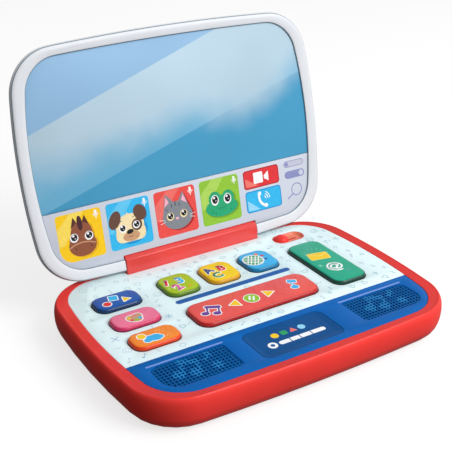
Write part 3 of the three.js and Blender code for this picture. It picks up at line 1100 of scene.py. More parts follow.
def block(name: str, x: float, y: float, half_x: float, half_y: float, low: float, high: float,
          corner: float = 0.0, steps: int = 8) -> Piece:
    """A plain upright block with rounded corners, used as a cutting tool or a blank.

    Args:
        name: the block's name.
        x: its middle across.
        y: its middle along.
        half_x: half its width.
        half_y: half its length.
        low: its bottom.
        high: its top.
        corner: its corners' radius.
        steps: the steps in each corner.

    Returns:
        The block.
    """
    work = Workpiece(name)
    work.plate(x, y, half_x, half_y, low, corner, steps)
    work.step(0, 0, high - low)
    return work.done(0)


# ---- prints


@dataclass(frozen=True)
class Oval:
    """A printed disc or oval."""

    x: float
    y: float
    rx: float
    ry: float = 0.0
    turn: float = 0.0

    def grown(self, by: float) -> "Oval":
        """The same shape with a margin."""
        return replace(self, rx=self.rx + by, ry=(self.ry or self.rx) + by)

    def draw(self, work: Workpiece, z: float) -> None:
        """Draws the shape's face."""
        work.disc(self.x, self.y, self.rx, self.ry or self.rx, z, 28, self.turn)


@dataclass(frozen=True)
class Ngon:
    """A printed regular polygon whose first corner points along a direction."""

    x: float
    y: float
    radius: float
    sides: int
    toward: float = 90.0
    corner: float = 0.0

    def grown(self, by: float) -> "Ngon":
        """The same shape with a margin."""
        return replace(self, radius=self.radius + by / math.cos(math.pi / self.sides),
                       corner=self.corner + by)

    def draw(self, work: Workpiece, z: float) -> None:
        """Draws the shape's face, with its corners rounded.

        Args:
            work: what it is drawn in.
            z: the height.
        """
        work.disc(self.x, self.y, self.radius, self.radius, z, self.sides, self.toward - 90.0)
        if self.corner:
            bpy.ops.mesh.bevel(offset=self.corner * MM, segments=3, affect="VERTICES")


@dataclass(frozen=True)
class Slab:
    """A printed rectangle with rounded corners."""

    x: float
    y: float
    hx: float
    hy: float
    corner: float = 0.0
    turn: float = 0.0

    def grown(self, by: float) -> "Slab":
        """The same shape with a margin."""
        return replace(self, hx=self.hx + by, hy=self.hy + by, corner=self.corner + by)

    def draw(self, work: Workpiece, z: float) -> None:
        """Draws the shape's face."""
        work.plate(self.x, self.y, self.hx, self.hy, z, self.corner, 5, self.turn)


@dataclass(frozen=True)
class Stroke:
    """A printed straight line with round ends."""

    x0: float
    y0: float
    x1: float
    y1: float
    width: float

    def grown(self, by: float) -> "Stroke":
        """The same line, wider."""
        return replace(self, width=self.width + 2 * by)

    def draw(self, work: Workpiece, z: float) -> None:
        """Draws the line's face.

        Args:
            work: what it is drawn in.
            z: the height.
        """
        half = self.width / 2
        long = math.hypot(self.x1 - self.x0, self.y1 - self.y0) / 2 + half
        turn = math.degrees(math.atan2(self.y1 - self.y0, self.x1 - self.x0))
        work.plate((self.x0 + self.x1) / 2, (self.y0 + self.y1) / 2, long, half, z, half, 4, turn)


@dataclass(frozen=True)
class Arc:
    """A printed part of a ring, from a start angle anticlockwise over a sweep."""

    x: float
    y: float
    radius: float
    start: float
    swing: float
    width: float

    def grown(self, by: float) -> "Arc":
        """The same arc, wider."""
        return replace(self, width=self.width + 2 * by)

    def draw(self, work: Workpiece, z: float) -> None:
        """Spins a short radial edge into the arc's faces.

        Args:
            work: what it is drawn in.
            z: the height.
        """
        at = mm(self.x + self.radius, self.y, z)
        centre = mm(self.x, self.y, z)
        bpy.ops.mesh.primitive_plane_add(size=self.width * MM, location=at)
        bpy.ops.transform.resize(value=(1.0, 0.0, 1.0), center_override=at)
        bpy.ops.mesh.remove_doubles(threshold=0.002 * MM)
        work.turn(self.start, centre)
        steps = max(4, round(abs(self.swing) / 14))
        work.sweep(self.swing, (self.x, self.y, z), steps)
        bpy.ops.mesh.select_linked()
        if abs(self.swing) >= 360:
            work.weld()


@dataclass(frozen=True)
class Poly:
    """A printed polygon with straight sides."""

    points: tuple[Point, ...]

    def grown(self, by: float) -> "Poly":
        """The polygon pushed out from its middle.

        Args:
            by: how far.

        Returns:
            The larger polygon.
        """
        cx = sum(p[0] for p in self.points) / len(self.points)
        cy = sum(p[1] for p in self.points) / len(self.points)
        reach = [math.hypot(x - cx, y - cy) for x, y in self.points]
        scale = [1 + 1.4 * by / r for r in reach]
        return Poly(tuple((cx + (x - cx) * k, cy + (y - cy) * k) for (x, y), k in zip(self.points, scale)))

    def draw(self, work: Workpiece, z: float) -> None:
        """Draws the polygon's face."""
        work.path([(x, y, z) for x, y in self.points])
        work.close()


@dataclass(frozen=True)
class Glyph:
    """One printed letter, digit or sign."""

    text: str
    x: float
    y: float
    size: float
    turn: float = 0.0
    weight: float = 0.0

    def grown(self, by: float) -> "Glyph":
        """The same sign, bolder."""
        return replace(self, weight=self.weight + by)


Shape = Oval | Ngon | Slab | Stroke | Arc | Poly | Glyph


class Print:
    """A thin printed picture: shapes laid on a surface in layers, each a film with real thickness."""

    def __init__(self, name: str, base: float, x: float = 0.0, y: float = 0.0) -> None:
        """Starts a print.

        Args:
            name: the piece's name.
            base: the height of the surface under it.
            x: the print's own origin across.
            y: the print's own origin along.
        """
        self.work = Workpiece(name)
        self.base = base
        self.x = x
        self.y = y
        self.laid = 0
        self.signs: list[Piece] = []
        self.waiting: list[tuple[Glyph, Ink, float]] = []

    def height(self, layer: int) -> float:
        """The top of the next film in a layer, never level with another."""
        self.laid += 1
        return self.base + 0.03 + 0.028 * layer + 0.0006 * self.laid

    def lay(self, ink: Ink, layer: int, *shapes: Shape) -> None:
        """Lays shapes of one ink in a layer.

        Args:
            ink: the ink.
            layer: 0 for the lowest.
            shapes: what is printed, from the print's own origin.
        """
        for shape in shapes:
            top = self.height(layer)
            if isinstance(shape, Glyph):
                self.waiting.append((shape, ink, top))
                continue
            self.shifted(shape).draw(self.work, top)
            self.work.paint(InkFilm(ink))
            self.work.step(0, 0, self.base - 0.05 - top)

    def outlined(self, ink: Ink, layer: int, *shapes: Shape, border: float = 0.65,
                 edge: Ink = Ink.WHITE) -> None:
        """Lays shapes over a wider copy of themselves in the edge's ink."""
        self.lay(edge, layer, *(s.grown(border) for s in shapes))
        self.lay(ink, layer + 1, *shapes)

    def shifted(self, shape: Shape) -> Shape:
        """The shape moved from the print's origin to its place.

        Args:
            shape: the shape.

        Returns:
            The moved shape.
        """
        if isinstance(shape, Poly):
            return Poly(tuple((x + self.x, y + self.y) for x, y in shape.points))
        if isinstance(shape, Stroke):
            return replace(shape, x0=shape.x0 + self.x, y0=shape.y0 + self.y,
                           x1=shape.x1 + self.x, y1=shape.y1 + self.y)
        return replace(shape, x=shape.x + self.x, y=shape.y + self.y)

    def sign(self, glyph: Glyph, ink: Ink, top: float) -> Piece:
        """Makes one letter or digit as a solid film.

        Args:
            glyph: the letter or digit.
            ink: its ink.
            top: the film's top.

        Returns:
            The film.
        """
        glyph = self.shifted(glyph)
        clear_bench()
        bpy.ops.object.text_add()
        obj = bpy.context.object
        obj.data.body = glyph.text
        obj.data.size = glyph.size * MM
        obj.data.offset = glyph.weight * MM
        obj.data.align_x = "CENTER"
        obj.data.align_y = "CENTER"
        obj.data.resolution_u = 4
        bpy.ops.object.convert(target="MESH")
        obj = bpy.context.object
        obj.data.materials.clear()
        obj.data.materials.append(InkFilm(ink).material())
        bpy.ops.object.mode_set(mode="EDIT")
        bpy.ops.mesh.select_all(action="SELECT")
        bpy.ops.mesh.remove_doubles(threshold=0.002 * MM)
        bpy.ops.mesh.extrude_region_move(
            TRANSFORM_OT_translate={"value": mm(0, 0, self.base - 0.05 - top)})
        bpy.ops.object.mode_set(mode="OBJECT")
        corners = [Vector(c) for c in obj.bound_box]
        middle = (corners[0] + corners[6]) / 2
        turn = Matrix.Rotation(math.radians(glyph.turn), 4, "Z")
        shift = Vector((-middle.x, -middle.y, 0.0))
        place = Matrix.Translation(mm(glyph.x, glyph.y, top)) @ turn @ Matrix.Translation(shift)
        return settle(obj, 0, place)

    def done(self, place: Matrix | None = None) -> Piece:
        """Joins the films into one piece and puts it in its place.

        Args:
            place: its place, if it was printed elsewhere.

        Returns:
            The piece.
        """
        clear_bench()
        parts = [self.work.obj]
        parts += [self.sign(glyph, ink, top) for glyph, ink, top in self.waiting]
        if len(parts) > 1:
            join(parts)
        pick(self.work.obj)
        bpy.ops.object.mode_set(mode="EDIT")
        return self.work.done(0, place)


def note_pair(x: float, y: float, size: float, lean: float) -> list[Shape]:
    """A pair of joined music notes: two heads, two stems and a beam.

    Args:
        x: the left head's middle across.
        y: the left head's middle along.
        size: the stems' length.
        lean: how far the stems lean to the right, in degrees.

    Returns:
        The shapes.
    """
    up = Vector((math.sin(math.radians(lean)), math.cos(math.radians(lean)))) * size
    across = Vector((math.cos(math.radians(lean)), -math.sin(math.radians(lean)))) * size * 0.82
    left = Vector((x, y))
    foot = left + across * 0.2
    right = foot + across
    shapes: list[Shape] = [
        Oval(left.x, left.y, size * 0.29, size * 0.23, 12 - lean),
        Oval(right.x - across.x * 0.2, right.y - across.y * 0.2, size * 0.29, size * 0.23, 12 - lean),
        Stroke(foot.x, foot.y, foot.x + up.x, foot.y + up.y, size * 0.13),
        Stroke(right.x, right.y, right.x + up.x, right.y + up.y, size * 0.13),
        Stroke(foot.x + up.x * 0.85, foot.y + up.y * 0.85, right.x + up.x * 0.85, right.y + up.y * 0.85,
               size * 0.36),
    ]
    return shapes


# ---- the base


@dataclass
class KeySpec:
    """One key: its place and size on the deck, its crown colour and the painted shade of its flanks."""

    name: str
    slot: str
    x: float
    y: float
    half_x: float
    half_y: float
    corner: float
    crown: Colour
    flank: Colour


# Each key's second colour is the painted shade of its flanks, a darker copy of its crown colour.
KEYS = (
    KeySpec("shapes", "key_blue", -78.6, 39.2, 16.45, 9.3, 7, (18, 84, 172), (0, 50, 100)),
    KeySpec("palette", "key_pink", -78.6, 13.0, 16.45, 9.3, 7, (240, 116, 150), (204, 44, 96)),
    KeySpec("weather", "key_orange", -78.6, -13.2, 16.45, 9.3, 7, (250, 138, 24), (226, 62, 8)),
    KeySpec("numbers", "key_lime", -33.1, 37.2, 12.5, 13.2, 7.5, (172, 200, 14), (94, 130, 12)),
    KeySpec("letters", "key_yellow", -0.5, 37.2, 12.5, 13.2, 7.5, (255, 208, 12), (212, 152, 6)),
    KeySpec("globe", "key_sky", 32.1, 37.2, 12.5, 13.2, 7.5, (58, 180, 236), (6, 116, 164)),
    KeySpec("music", "key_coral", -0.4, -6.3, 46.7, 14.2, 8.5, (238, 84, 74), (176, 10, 12)),
    KeySpec("mail", "key_teal", 72.4, 10.5, 14.0, 31.6, 7.5, (8, 168, 132), (0, 62, 46)),
)


@dataclass
class Base:
    """The base: its two shells, the deck, the blue panel with its grilles, and the plate in it."""

    grille_x: float = 72.0
    grille_y: float = -53.0
    grille_half_x: float = 25.8
    grille_half_y: float = 13.1
    grille_top: float = 23.5
    badge_x: float = -2.4
    badge_y: float = -53.7
    badge_half_x: float = 30.5
    badge_half_y: float = 15.5
    badge_top: float = 23.3
    columns: int = 21
    rows: int = 10

    def top_shell(self) -> None:
        """Builds the upper shell: a bulging wall, a creased rim and the ledge that the deck rests on."""
        rings = [(BASE, 0.9, 9.08), (BASE, 0.52, 11.0), (BASE, 0.2, 13.0), (BASE, 0.04, 15.0),
                 (BASE, 0.0, 16.5), (BASE, 0.08, 18.5), (BASE, 0.3, 20.4), (BASE, 0.62, 21.9),
                 (BASE, 1.05, 23.0),
                 (BASE, 1.45, 23.7), (BASE, 1.85, 24.22), (BASE, 2.25, 24.45), (BASE, 2.6, 24.5),
                 (BASE, 2.95, 24.44), (BASE, 3.3, 24.3), (BASE, 3.8, 24.22), (RIM_INNER, -0.55, 24.2),
                 (RIM_INNER, -0.2, 24.16), (RIM_INNER, 0.0, 24.0),
                 (RIM_INNER, 0.0, 21.3), (RIM_INNER, 6.0, 21.3), (RIM_INNER, 6.0, 18.9), (BASE, 3.3, 18.9),
                 (BASE, 3.3, 9.08)]
        shell = skin("top_shell_skin", rings, True)
        work = block("bar_room", 0, 80, 54.6, 3.5, 24.0, 30.0)
        carve(shell, work)
        # The rim's flat top faces get a darker copy of the red, as painted shade.
        coat(settle(shell), RED, RIM_TOP_SHADE)
        for face in shell.data.polygons:
            if face.normal.z > 0.9 and face.center.z > 24.1 * MM:
                face.material_index = 1
        install(shell, "base", "red_shell", "top_shell")

    def bottom_shell(self) -> None:
        """Refines the lower shell, with its battery bay and screw holes."""
        shell = coat(level(copy_of("bottom_shell", "bottom_shell_skin", 0.15)), RED)
        install(shell, "base", "red_shell", "bottom_shell")

    def sheet(self, name: str, keep_behind: bool) -> Piece:
        """The deck's or the panel's blank: the rim's inside outline, cut at the seam.

        Args:
            name: the piece's name.
            keep_behind: whether what is behind the seam stays.

        Returns:
            The blank.
        """
        work = Workpiece(name)
        RIM_INNER.inset(GAP).draw(work, DECK_BOTTOM)
        bpy.ops.mesh.edge_face_add()
        work.step(0, 0, DECK_TOP - DECK_BOTTOM)
        work.everything()
        side = 1 if keep_behind else -1
        bpy.ops.mesh.bisect(plane_co=mm(0, SEAM_Y + side * GAP / 2, 0), plane_no=(0, side, 0),
                            use_fill=True, clear_inner=True)
        return work.done(0)

    def deck(self) -> None:
        """Cuts the pale deck for its keys, the switch and the hinge bar, and softens its edges."""
        deck = self.sheet("deck_skin", True)
        for key in KEYS:
            carve(deck, block("hole", key.x, key.y, key.half_x + 0.5, key.half_y + 0.5, 18, 30,
                              key.corner + 0.5, 12))
        carve(deck, block("hole", SlideSwitch.x, SlideSwitch.y, SlideSwitch.half_x + 0.3,
                          SlideSwitch.half_y + 0.3, 18, 30, SlideSwitch.half_y + 0.3, 16))
        carve(deck, block("hole", 0, 80, 54.6, 9.9, 18, 30))
        soften(deck, 0.28, 2, 50)
        install(coat(settle(deck), PALE), "base", "deck_pale", "keyboard_deck")

    def grille_blank(self, side: int, margin: float, low: float, high: float) -> Piece:
        """A grille's outline as a block: its outer corners are rounder than its inner ones.

        Args:
            side: -1 for the left grille and 1 for the right one.
            margin: how far the outline is grown.
            low: its underside.
            high: its top.

        Returns:
            The block.
        """
        work = Workpiece("grille_blank")
        x, y = side * self.grille_x, self.grille_y
        hx, hy = self.grille_half_x + margin, self.grille_half_y + margin
        work.plate(x, y, hx, hy, low)
        for sx, sy, radius in ((-side, -1, 3.0), (-side, 1, 3.0), (side, -1, 11.0), (side, 1, 6.6)):
            corner_x, corner_y = x + sx * hx, y + sy * hy
            work.choose(lambda p, cx=corner_x, cy=corner_y: abs(p.x - cx) < 0.05 and abs(p.y - cy) < 0.05)
            bpy.ops.mesh.bevel(offset=(radius + margin) * MM, segments=10, affect="VERTICES")
        work.everything()
        work.step(0, 0, high - low)
        return work.done(0)

    def panel(self) -> None:
        """Cuts the blue panel for the grilles and the plate."""
        panel = self.sheet("panel_skin", False)
        for side in (-1, 1):
            carve(panel, self.grille_blank(side, 0.15, 18, 30))
        carve(panel, block("hole", self.badge_x, self.badge_y, self.badge_half_x + 0.15,
                           self.badge_half_y + 0.15, 18, 30, 6.15, 12))
        soften(panel, 0.3, 2, 50)
        install(coat(settle(panel), PANEL), "base", "panel_blue", "front_panel")

    def note_area(self, side: int) -> Callable[[Vector], bool]:
        """Says which of a grille's cells lie under its printed notes.

        Args:
            side: -1 for the left grille and 1 for the right.

        Returns:
            A test of a place in millimetres.
        """
        shift = 0.0 if side < 0 else 143.6
        heads = [(-84.6, -54.3, 4.0), (-74.2, -57.0, 4.0), (-59.4, -44.3, 2.4), (-59.6, -57.1, 3.4)]
        lines = [((-81.6, -54.0), (-78.2, -43.0), 1.3), ((-71.6, -57.0), (-68.8, -46.6), 1.3),
                 ((-78.0, -43.2), (-69.2, -46.8), 2.4), ((-60.4, -45.6), (-63.3, -48.2), 1.3)]

        def inside(p: Vector) -> bool:
            """Whether a place is under a note.

            Args:
                p: the place in millimetres.

            Returns:
                True if it is.
            """
            x, y = p.x - shift, p.y
            if any(math.hypot(x - hx, y - hy) < r for hx, hy, r in heads):
                return True
            for (ax, ay), (bx, by), half in lines:
                along = ((x - ax) * (bx - ax) + (y - ay) * (by - ay)) / ((bx - ax) ** 2 + (by - ay) ** 2)
                along = min(1.0, max(0.0, along))
                if math.hypot(x - ax - along * (bx - ax), y - ay - along * (by - ay)) < half:
                    return True
            return False

        return inside

    def grille(self, side: int) -> None:
        """Builds a grille: a lattice of square holes in a plain rim, with its printed notes.

        Args:
            side: -1 for the left grille and 1 for the right.
        """
        name = "left" if side < 0 else "right"
        low, high = 21.3 + GAP, self.grille_top
        x, y = side * self.grille_x, self.grille_y
        work = Workpiece("lattice")
        at = mm(x, y, high)
        bpy.ops.mesh.primitive_grid_add(x_subdivisions=self.columns, y_subdivisions=self.rows,
                                        size=2 * MM, location=at)
        bpy.ops.transform.resize(value=(self.grille_half_x + 0.5, self.grille_half_y + 0.5, 1),
                                 center_override=at)
        work.paint(GRILLE)
        work.inset(0.42, 0, True)
        work.step(0, 0, -1.1)
        # The pits' walls and floors are painted dark, as painted shade in the blind holes.
        work.paint(PIT_SHADE)
        bpy.ops.mesh.select_all(action="DESELECT")
        bpy.ops.mesh.select_mode(type="EDGE")
        bpy.ops.mesh.select_non_manifold()
        work.step(0, 0, low - high)
        bpy.ops.mesh.edge_face_add()
        inside = self.note_area(side)
        lattice = work.done(0)
        carve(lattice, self.grille_blank(side, -0.7, 18, 30), "INTERSECT")
        pick(lattice)
        bpy.ops.object.mode_set(mode="EDIT")
        work.obj = lattice
        work.choose(lambda p: p.z > high - 0.02 and inside(p), "FACE")
        work.paint(InkFilm(Ink.GRILLE_LIGHT))
        # The pits under the notes get a darker copy of the notes' blue, as painted shade.
        work.choose(lambda p: high - 1.2 < p.z < high - 0.02 and inside(p), "FACE")
        work.paint(InkFilm(Ink.DEEP_GRILLE))
        lattice = work.done(0)
        rim = self.grille_blank(side, -0.15, low, high)
        carve(rim, self.grille_blank(side, -0.69, 18, 30))
        coat(rim, GRILLE)
        grille = join([rim, lattice])
        grille.name = f"grille_{name}_skin"
        install(settle(grille, 35), "base", "grille_blue", f"speaker_grille_{name}")

    def badge(self) -> None:
        """Builds the recessed plate: dished, with a raised line round the dish."""
        work = Workpiece("badge_skin")
        x, y, top = self.badge_x, self.badge_y, self.badge_top
        work.plate(x, y, self.badge_half_x - 0.1, self.badge_half_y - 0.1, 21.6, 5.9, 14)
        work.step(0, 0, top + 0.45 - 21.6)
        for width, deep in ((0.5, 0.0), (0.6, -0.05), (0.7, -0.12), (0.9, -0.22), (0.9, -0.16), (0.8, -0.06)):
            work.inset(width, deep)
        plate = work.done(0)
        soften(plate, 0.12, 2, 25)
        install(coat(settle(plate, 50), BADGE), "base", "badge_blue", "badge_plate")
        mark = Print("badge_print", top - 0.16, x + 1.9, y - 0.5)
        colours = (Ink.YELLOW, Ink.GREEN, Ink.LIGHT_RED, Ink.PALE_CYAN)
        shapes = (Oval(-12.4, 5.6, 2.7), Slab(-5.4, 5.8, 2.3, 2.3, 0.6),
                  Ngon(1.3, 5.4, 3.2, 3, 90, 0.5), Oval(8.2, 5.7, 2.6))
        for ink, shape in zip(colours, shapes):
            mark.lay(ink, 0, shape)
        mark.lay(Ink.WHITE, 0, Oval(-19.6, -3.0, 3.3), Slab(2.8, -3.2, 17.6, 1.9, 1.9))
        gaps = [Slab(across, -3.2, 0.35, 2.3) for across in (-6.4, 1.0, 9.6)]
        mark.lay(Ink.BADGE_BLUE, 1, Oval(-19.6, -3.0, 1.5), *gaps)
        install(mark.done(), "base", "badge_blue")

    def lines(self) -> None:
        """Prints the long lines beside the keys and over the grilles."""
        line = Print("deck_line", DECK_TOP)
        line.lay(Ink.BLUE, 0, Stroke(-43.4, 18.0, 43.4, 18.0, 4.8))
        install(line.done(), "base", "deck_pale")
        line = Print("panel_lines", DECK_TOP)
        for side in (-1, 1):
            line.lay(Ink.PANEL_LAVENDER, 0, Stroke(side * 45.6, -38.5, side * 97.8, -38.5, 1.5))
        install(line.done(), "base", "panel_blue")

    def build(self) -> None:
        """Builds the whole base."""
        self.top_shell()
        self.bottom_shell()
        self.deck()
        self.panel()
        for side in (-1, 1):
            self.grille(side)
        self.badge()
        self.lines()


@dataclass(frozen=True)
class Pen:
    """A pen for one doodle, which works about the doodle's middle in parts of its reach."""

    x: float
    y: float
    reach: float
    turn: float
    line: float = 0.44

    def at(self, u: float, v: float) -> Point:
        """A place in the doodle."""
        c, s = math.cos(self.turn) * self.reach, math.sin(self.turn) * self.reach
        return self.x + u * c - v * s, self.y + u * s + v * c

    def stroke(self, start: Point, end: Point) -> Stroke:
        """A line between two places in the doodle."""
        return Stroke(*self.at(*start), *self.at(*end), self.line)

    def arc(self, u: float, v: float, radius: float, start: float, sweep: float = 180) -> Arc:
        """An arc about a place in the doodle."""
        degrees = math.degrees(self.turn) + start
        return Arc(*self.at(u, v), radius * self.reach, degrees, sweep, self.line)

    def smiley(self) -> list[Shape]:
        """A round smiling face."""
        eyes = [Oval(*self.at(0.35 * side, 0.25), self.line * 0.8) for side in (-1, 1)]
        return [Arc(self.x, self.y, self.reach, 0, 360, self.line), self.arc(0, 0, 0.5, 200, 140), *eyes]

    def cross(self) -> list[Shape]:
        """Two crossed lines."""
        return [self.stroke((-0.7, -0.7), (0.7, 0.7)), self.stroke((-0.7, 0.7), (0.7, -0.7))]

    def burst(self) -> list[Shape]:
        """Three lines through one point."""
        turned = [replace(self, turn=self.turn + k * math.pi / 3) for k in range(3)]
        return [pen.stroke((-0.8, 0), (0.8, 0)) for pen in turned]

    def heart(self) -> list[Shape]:
        """A heart of two arcs and two lines."""
        lobes = [self.arc(0.42 * side, 0.3, 0.42, -15 * side) for side in (-1, 1)]
        return [*lobes, *(self.stroke((0.82 * side, 0.2), (0, -0.85)) for side in (-1, 1))]

    def note(self) -> list[Shape]:
        """A single music note."""
        head = Oval(*self.at(-0.3, -0.7), self.reach * 0.3, self.reach * 0.22)
        return [head, self.stroke((0, -0.7), (0, 0.8)), self.stroke((0, 0.8), (0.55, 0.45))]

    def wave(self) -> list[Shape]:
        """An arc up and an arc down."""
        return [self.arc(-0.4, 0, 0.4, 0), self.arc(0.4, 0, 0.4, 180)]

    def square(self) -> list[Shape]:
        """A square of four lines."""
        ring = [(-0.6, -0.6), (0.6, -0.6), (0.6, 0.6), (-0.6, 0.6)]
        return [self.stroke(a, b) for a, b in zip(ring, ring[1:] + ring[:1])]


@dataclass
class Doodles:
    """The faint line drawings printed all over the pale deck."""

    seed: int = 11
    pitch: float = 9.0

    def blocked(self, x: float, y: float, room: float) -> bool:
        """Whether a drawing at this place would touch a key, the switch, the bar or the deck's edge.

        Args:
            x: the place across.
            y: the place along.
            room: the drawing's reach.

        Returns:
            Whether it would.
        """
        for key in KEYS:
            if abs(x - key.x) < key.half_x + room and abs(y - key.y) < key.half_y + room:
                return True
        switch = SlideSwitch
        if abs(x - switch.x) < switch.half_x + room and abs(y - switch.y) < switch.half_y + room:
            return True
        if abs(x) < 56 + room and y > 69 - room:
            return True
        if abs(x) < 46 + room and abs(y - 18) < 0.9 + room:
            return True
        corner = math.hypot(max(0.0, abs(x) - 80.0), max(0.0, abs(y - 0.9) - 48.0))
        return corner > 27.5 - room or y < SEAM_Y + room or abs(x) > 107.5 - room or y > 76 - room

    def build(self) -> None:
        """Scatters the drawings over the deck in a loose grid, and adds the few stronger ones."""
        sheet = Print("deck_doodles", DECK_TOP)
        kinds = (Pen.smiley, Pen.cross, Pen.burst, Pen.heart, Pen.note, Pen.wave, Pen.square)
        draw = random.Random(self.seed)
        strong = [(Pen.burst, -57.8, 6.2, 3.4, 0.2, Ink.DOODLE_BLUE),
                  (Pen.cross, -99.5, -0.6, 3.2, -0.3, Ink.LAVENDER),
                  (Pen.heart, -56.4, -9.6, 2.6, -0.4, Ink.DOODLE_BLUE),
                  (Pen.smiley, -99.0, -16.0, 2.7, -0.5, Ink.DOODLE_GREY),
                  (Pen.note, -92.6, -26.4, 2.7, -0.4, Ink.DOODLE_BLUE),
                  (Pen.cross, -16.2, 52.4, 2.2, 0.1, Ink.DOODLE_BLUE)]
        taken = []
        for make, x, y, r, turn, ink in strong:
            sheet.lay(ink, 0, *make(Pen(x, y, r, turn)))
            taken.append((x, y, r))
        columns, rows = int(216 / self.pitch), int(108 / self.pitch)
        for i in range(columns):
            for j in range(rows):
                x = -107 + (i + 0.5 + draw.uniform(-0.32, 0.32)) * self.pitch
                y = -31 + (j + 0.5 + draw.uniform(-0.32, 0.32)) * self.pitch
                r = draw.uniform(1.9, 2.9)
                turn = draw.uniform(-0.9, 0.5)
                make = kinds[draw.randrange(len(kinds))]
                ink = (Ink.DOODLE, Ink.DOODLE, Ink.DOODLE_GREY)[draw.randrange(3)]
                near = any(math.hypot(x - a, y - b) < r + c + 0.6 for a, b, c in taken)
                if near or self.blocked(x, y, r + 0.8):
                    continue
                taken.append((x, y, r))
                sheet.lay(ink, 0, *make(Pen(x, y, r, turn)))
        install(sheet.done(), "base", "deck_pale")


@dataclass
class HingeBar:
    """The red bar that stands up from the deck between the lid's knuckles."""

    half: float = 54.3
    radius: float = 5.2

    def build(self) -> None:
        """Draws the bar's section, spins its round top and pulls it along the hinge."""
        work = Workpiece("hinge_bar_skin")
        foot = [(70.4, 21.9), (70.4, 24.0), (71.9, 34.3), (HINGE_Y, HINGE_Z + self.radius)]
        work.path([(-self.half, y, z) for y, z in foot])
        reach = math.degrees(math.atan2(foot[-1][1] - HINGE_Z, foot[-1][0] - HINGE_Y))
        work.sweep(-reach, (-self.half, HINGE_Y, HINGE_Z), 16, (1, 0, 0))
        bpy.ops.mesh.extrude_region_move(
            TRANSFORM_OT_translate={"value": mm(0, 0, 24.8 - HINGE_Z)})
        work.step(0, 76.8 - HINGE_Y - self.radius, 0)
        work.step(0, 0, 21.9 - 24.8)
        work.step(0, 70.4 - 76.8, 0)
        work.close()
        work.step(2 * self.half, 0, 0)
        bar = work.done(0)
        soften(bar, 0.55, 3, 24)
        install(coat(settle(bar, 50), BAR), "base", "red_shell", "hinge_bar")


@dataclass
class SlideSwitch:
    """The slide switch: an oval dish in the deck and a domed knob."""

    x: float = 74.0
    y: float = 59.0
    half_x: float = 12.7
    half_y: float = 6.5
    floor: float = 21.8
    knob_x: float = 67.9
    knob_radius: float = 5.5

    def dish(self) -> None:
        """Builds the dish: a thin lip, a hollowed oval bowl and the knob's slot."""
        work = Workpiece("switch_tray_skin")
        work.plate(self.x, self.y, self.half_x, self.half_y, self.floor - 0.9, self.half_y, 16)
        work.step(0, 0, DECK_TOP + 0.9 - self.floor)
        work.inset(0.5)
        work.paint(DISH)
        work.inset(0.35, -0.55)
        work.inset(0.45, -0.75)
        work.inset(0.7, -0.6)
        work.inset(1.0, -0.25)
        tray = work.done(0)
        carve(tray, block("slot", self.knob_x + 6.15, self.y, 7.2, 0.75, 10, 40, 0.7, 4))
        settle(tray, 45)
        materials = tray.data.materials
        if RED.name not in materials:
            materials.append(RED.material())
        red = materials.find(RED.name)
        for face in tray.data.polygons:
            if face.center.z > (DECK_TOP - 0.02) * MM or face.center.z < (self.floor - 0.2) * MM:
                face.material_index = red
        install(tray, "base", "red_shell", "switch_tray")

    def knob(self) -> None:
        """Spins the knob's dome and adds its stem."""
        low = self.floor + GAP
        work = Workpiece("switch_knob_skin")
        radius = self.knob_radius
        profile = [(0.0, low), (radius - 0.5, low), (radius - 0.1, low + 0.35), (radius, low + 0.9),
                   (radius - 0.12, low + 1.7), (radius - 0.55, low + 2.7), (radius - 1.35, low + 3.6),
                   (radius - 2.5, low + 4.35), (radius - 3.9, low + 4.85), (0.0, low + 5.0)]
        work.path([(self.knob_x + r, self.y, z) for r, z in profile])
        work.everything()
        work.sweep(360, (self.knob_x, self.y, low), 40)
        work.everything()
        work.weld()
        knob = work.done(60)
        stem = block("stem", self.knob_x, self.y, 0.6, 0.6, 18.6, low + 1, 0.2, 3)
        carve(knob, stem, "UNION")
        install(coat(settle(knob, 50), RED), "switch_slider", "red_shell", "switch_knob")

    def build(self) -> None:
        """Builds the dish and the knob."""
        self.dish()
        self.knob()


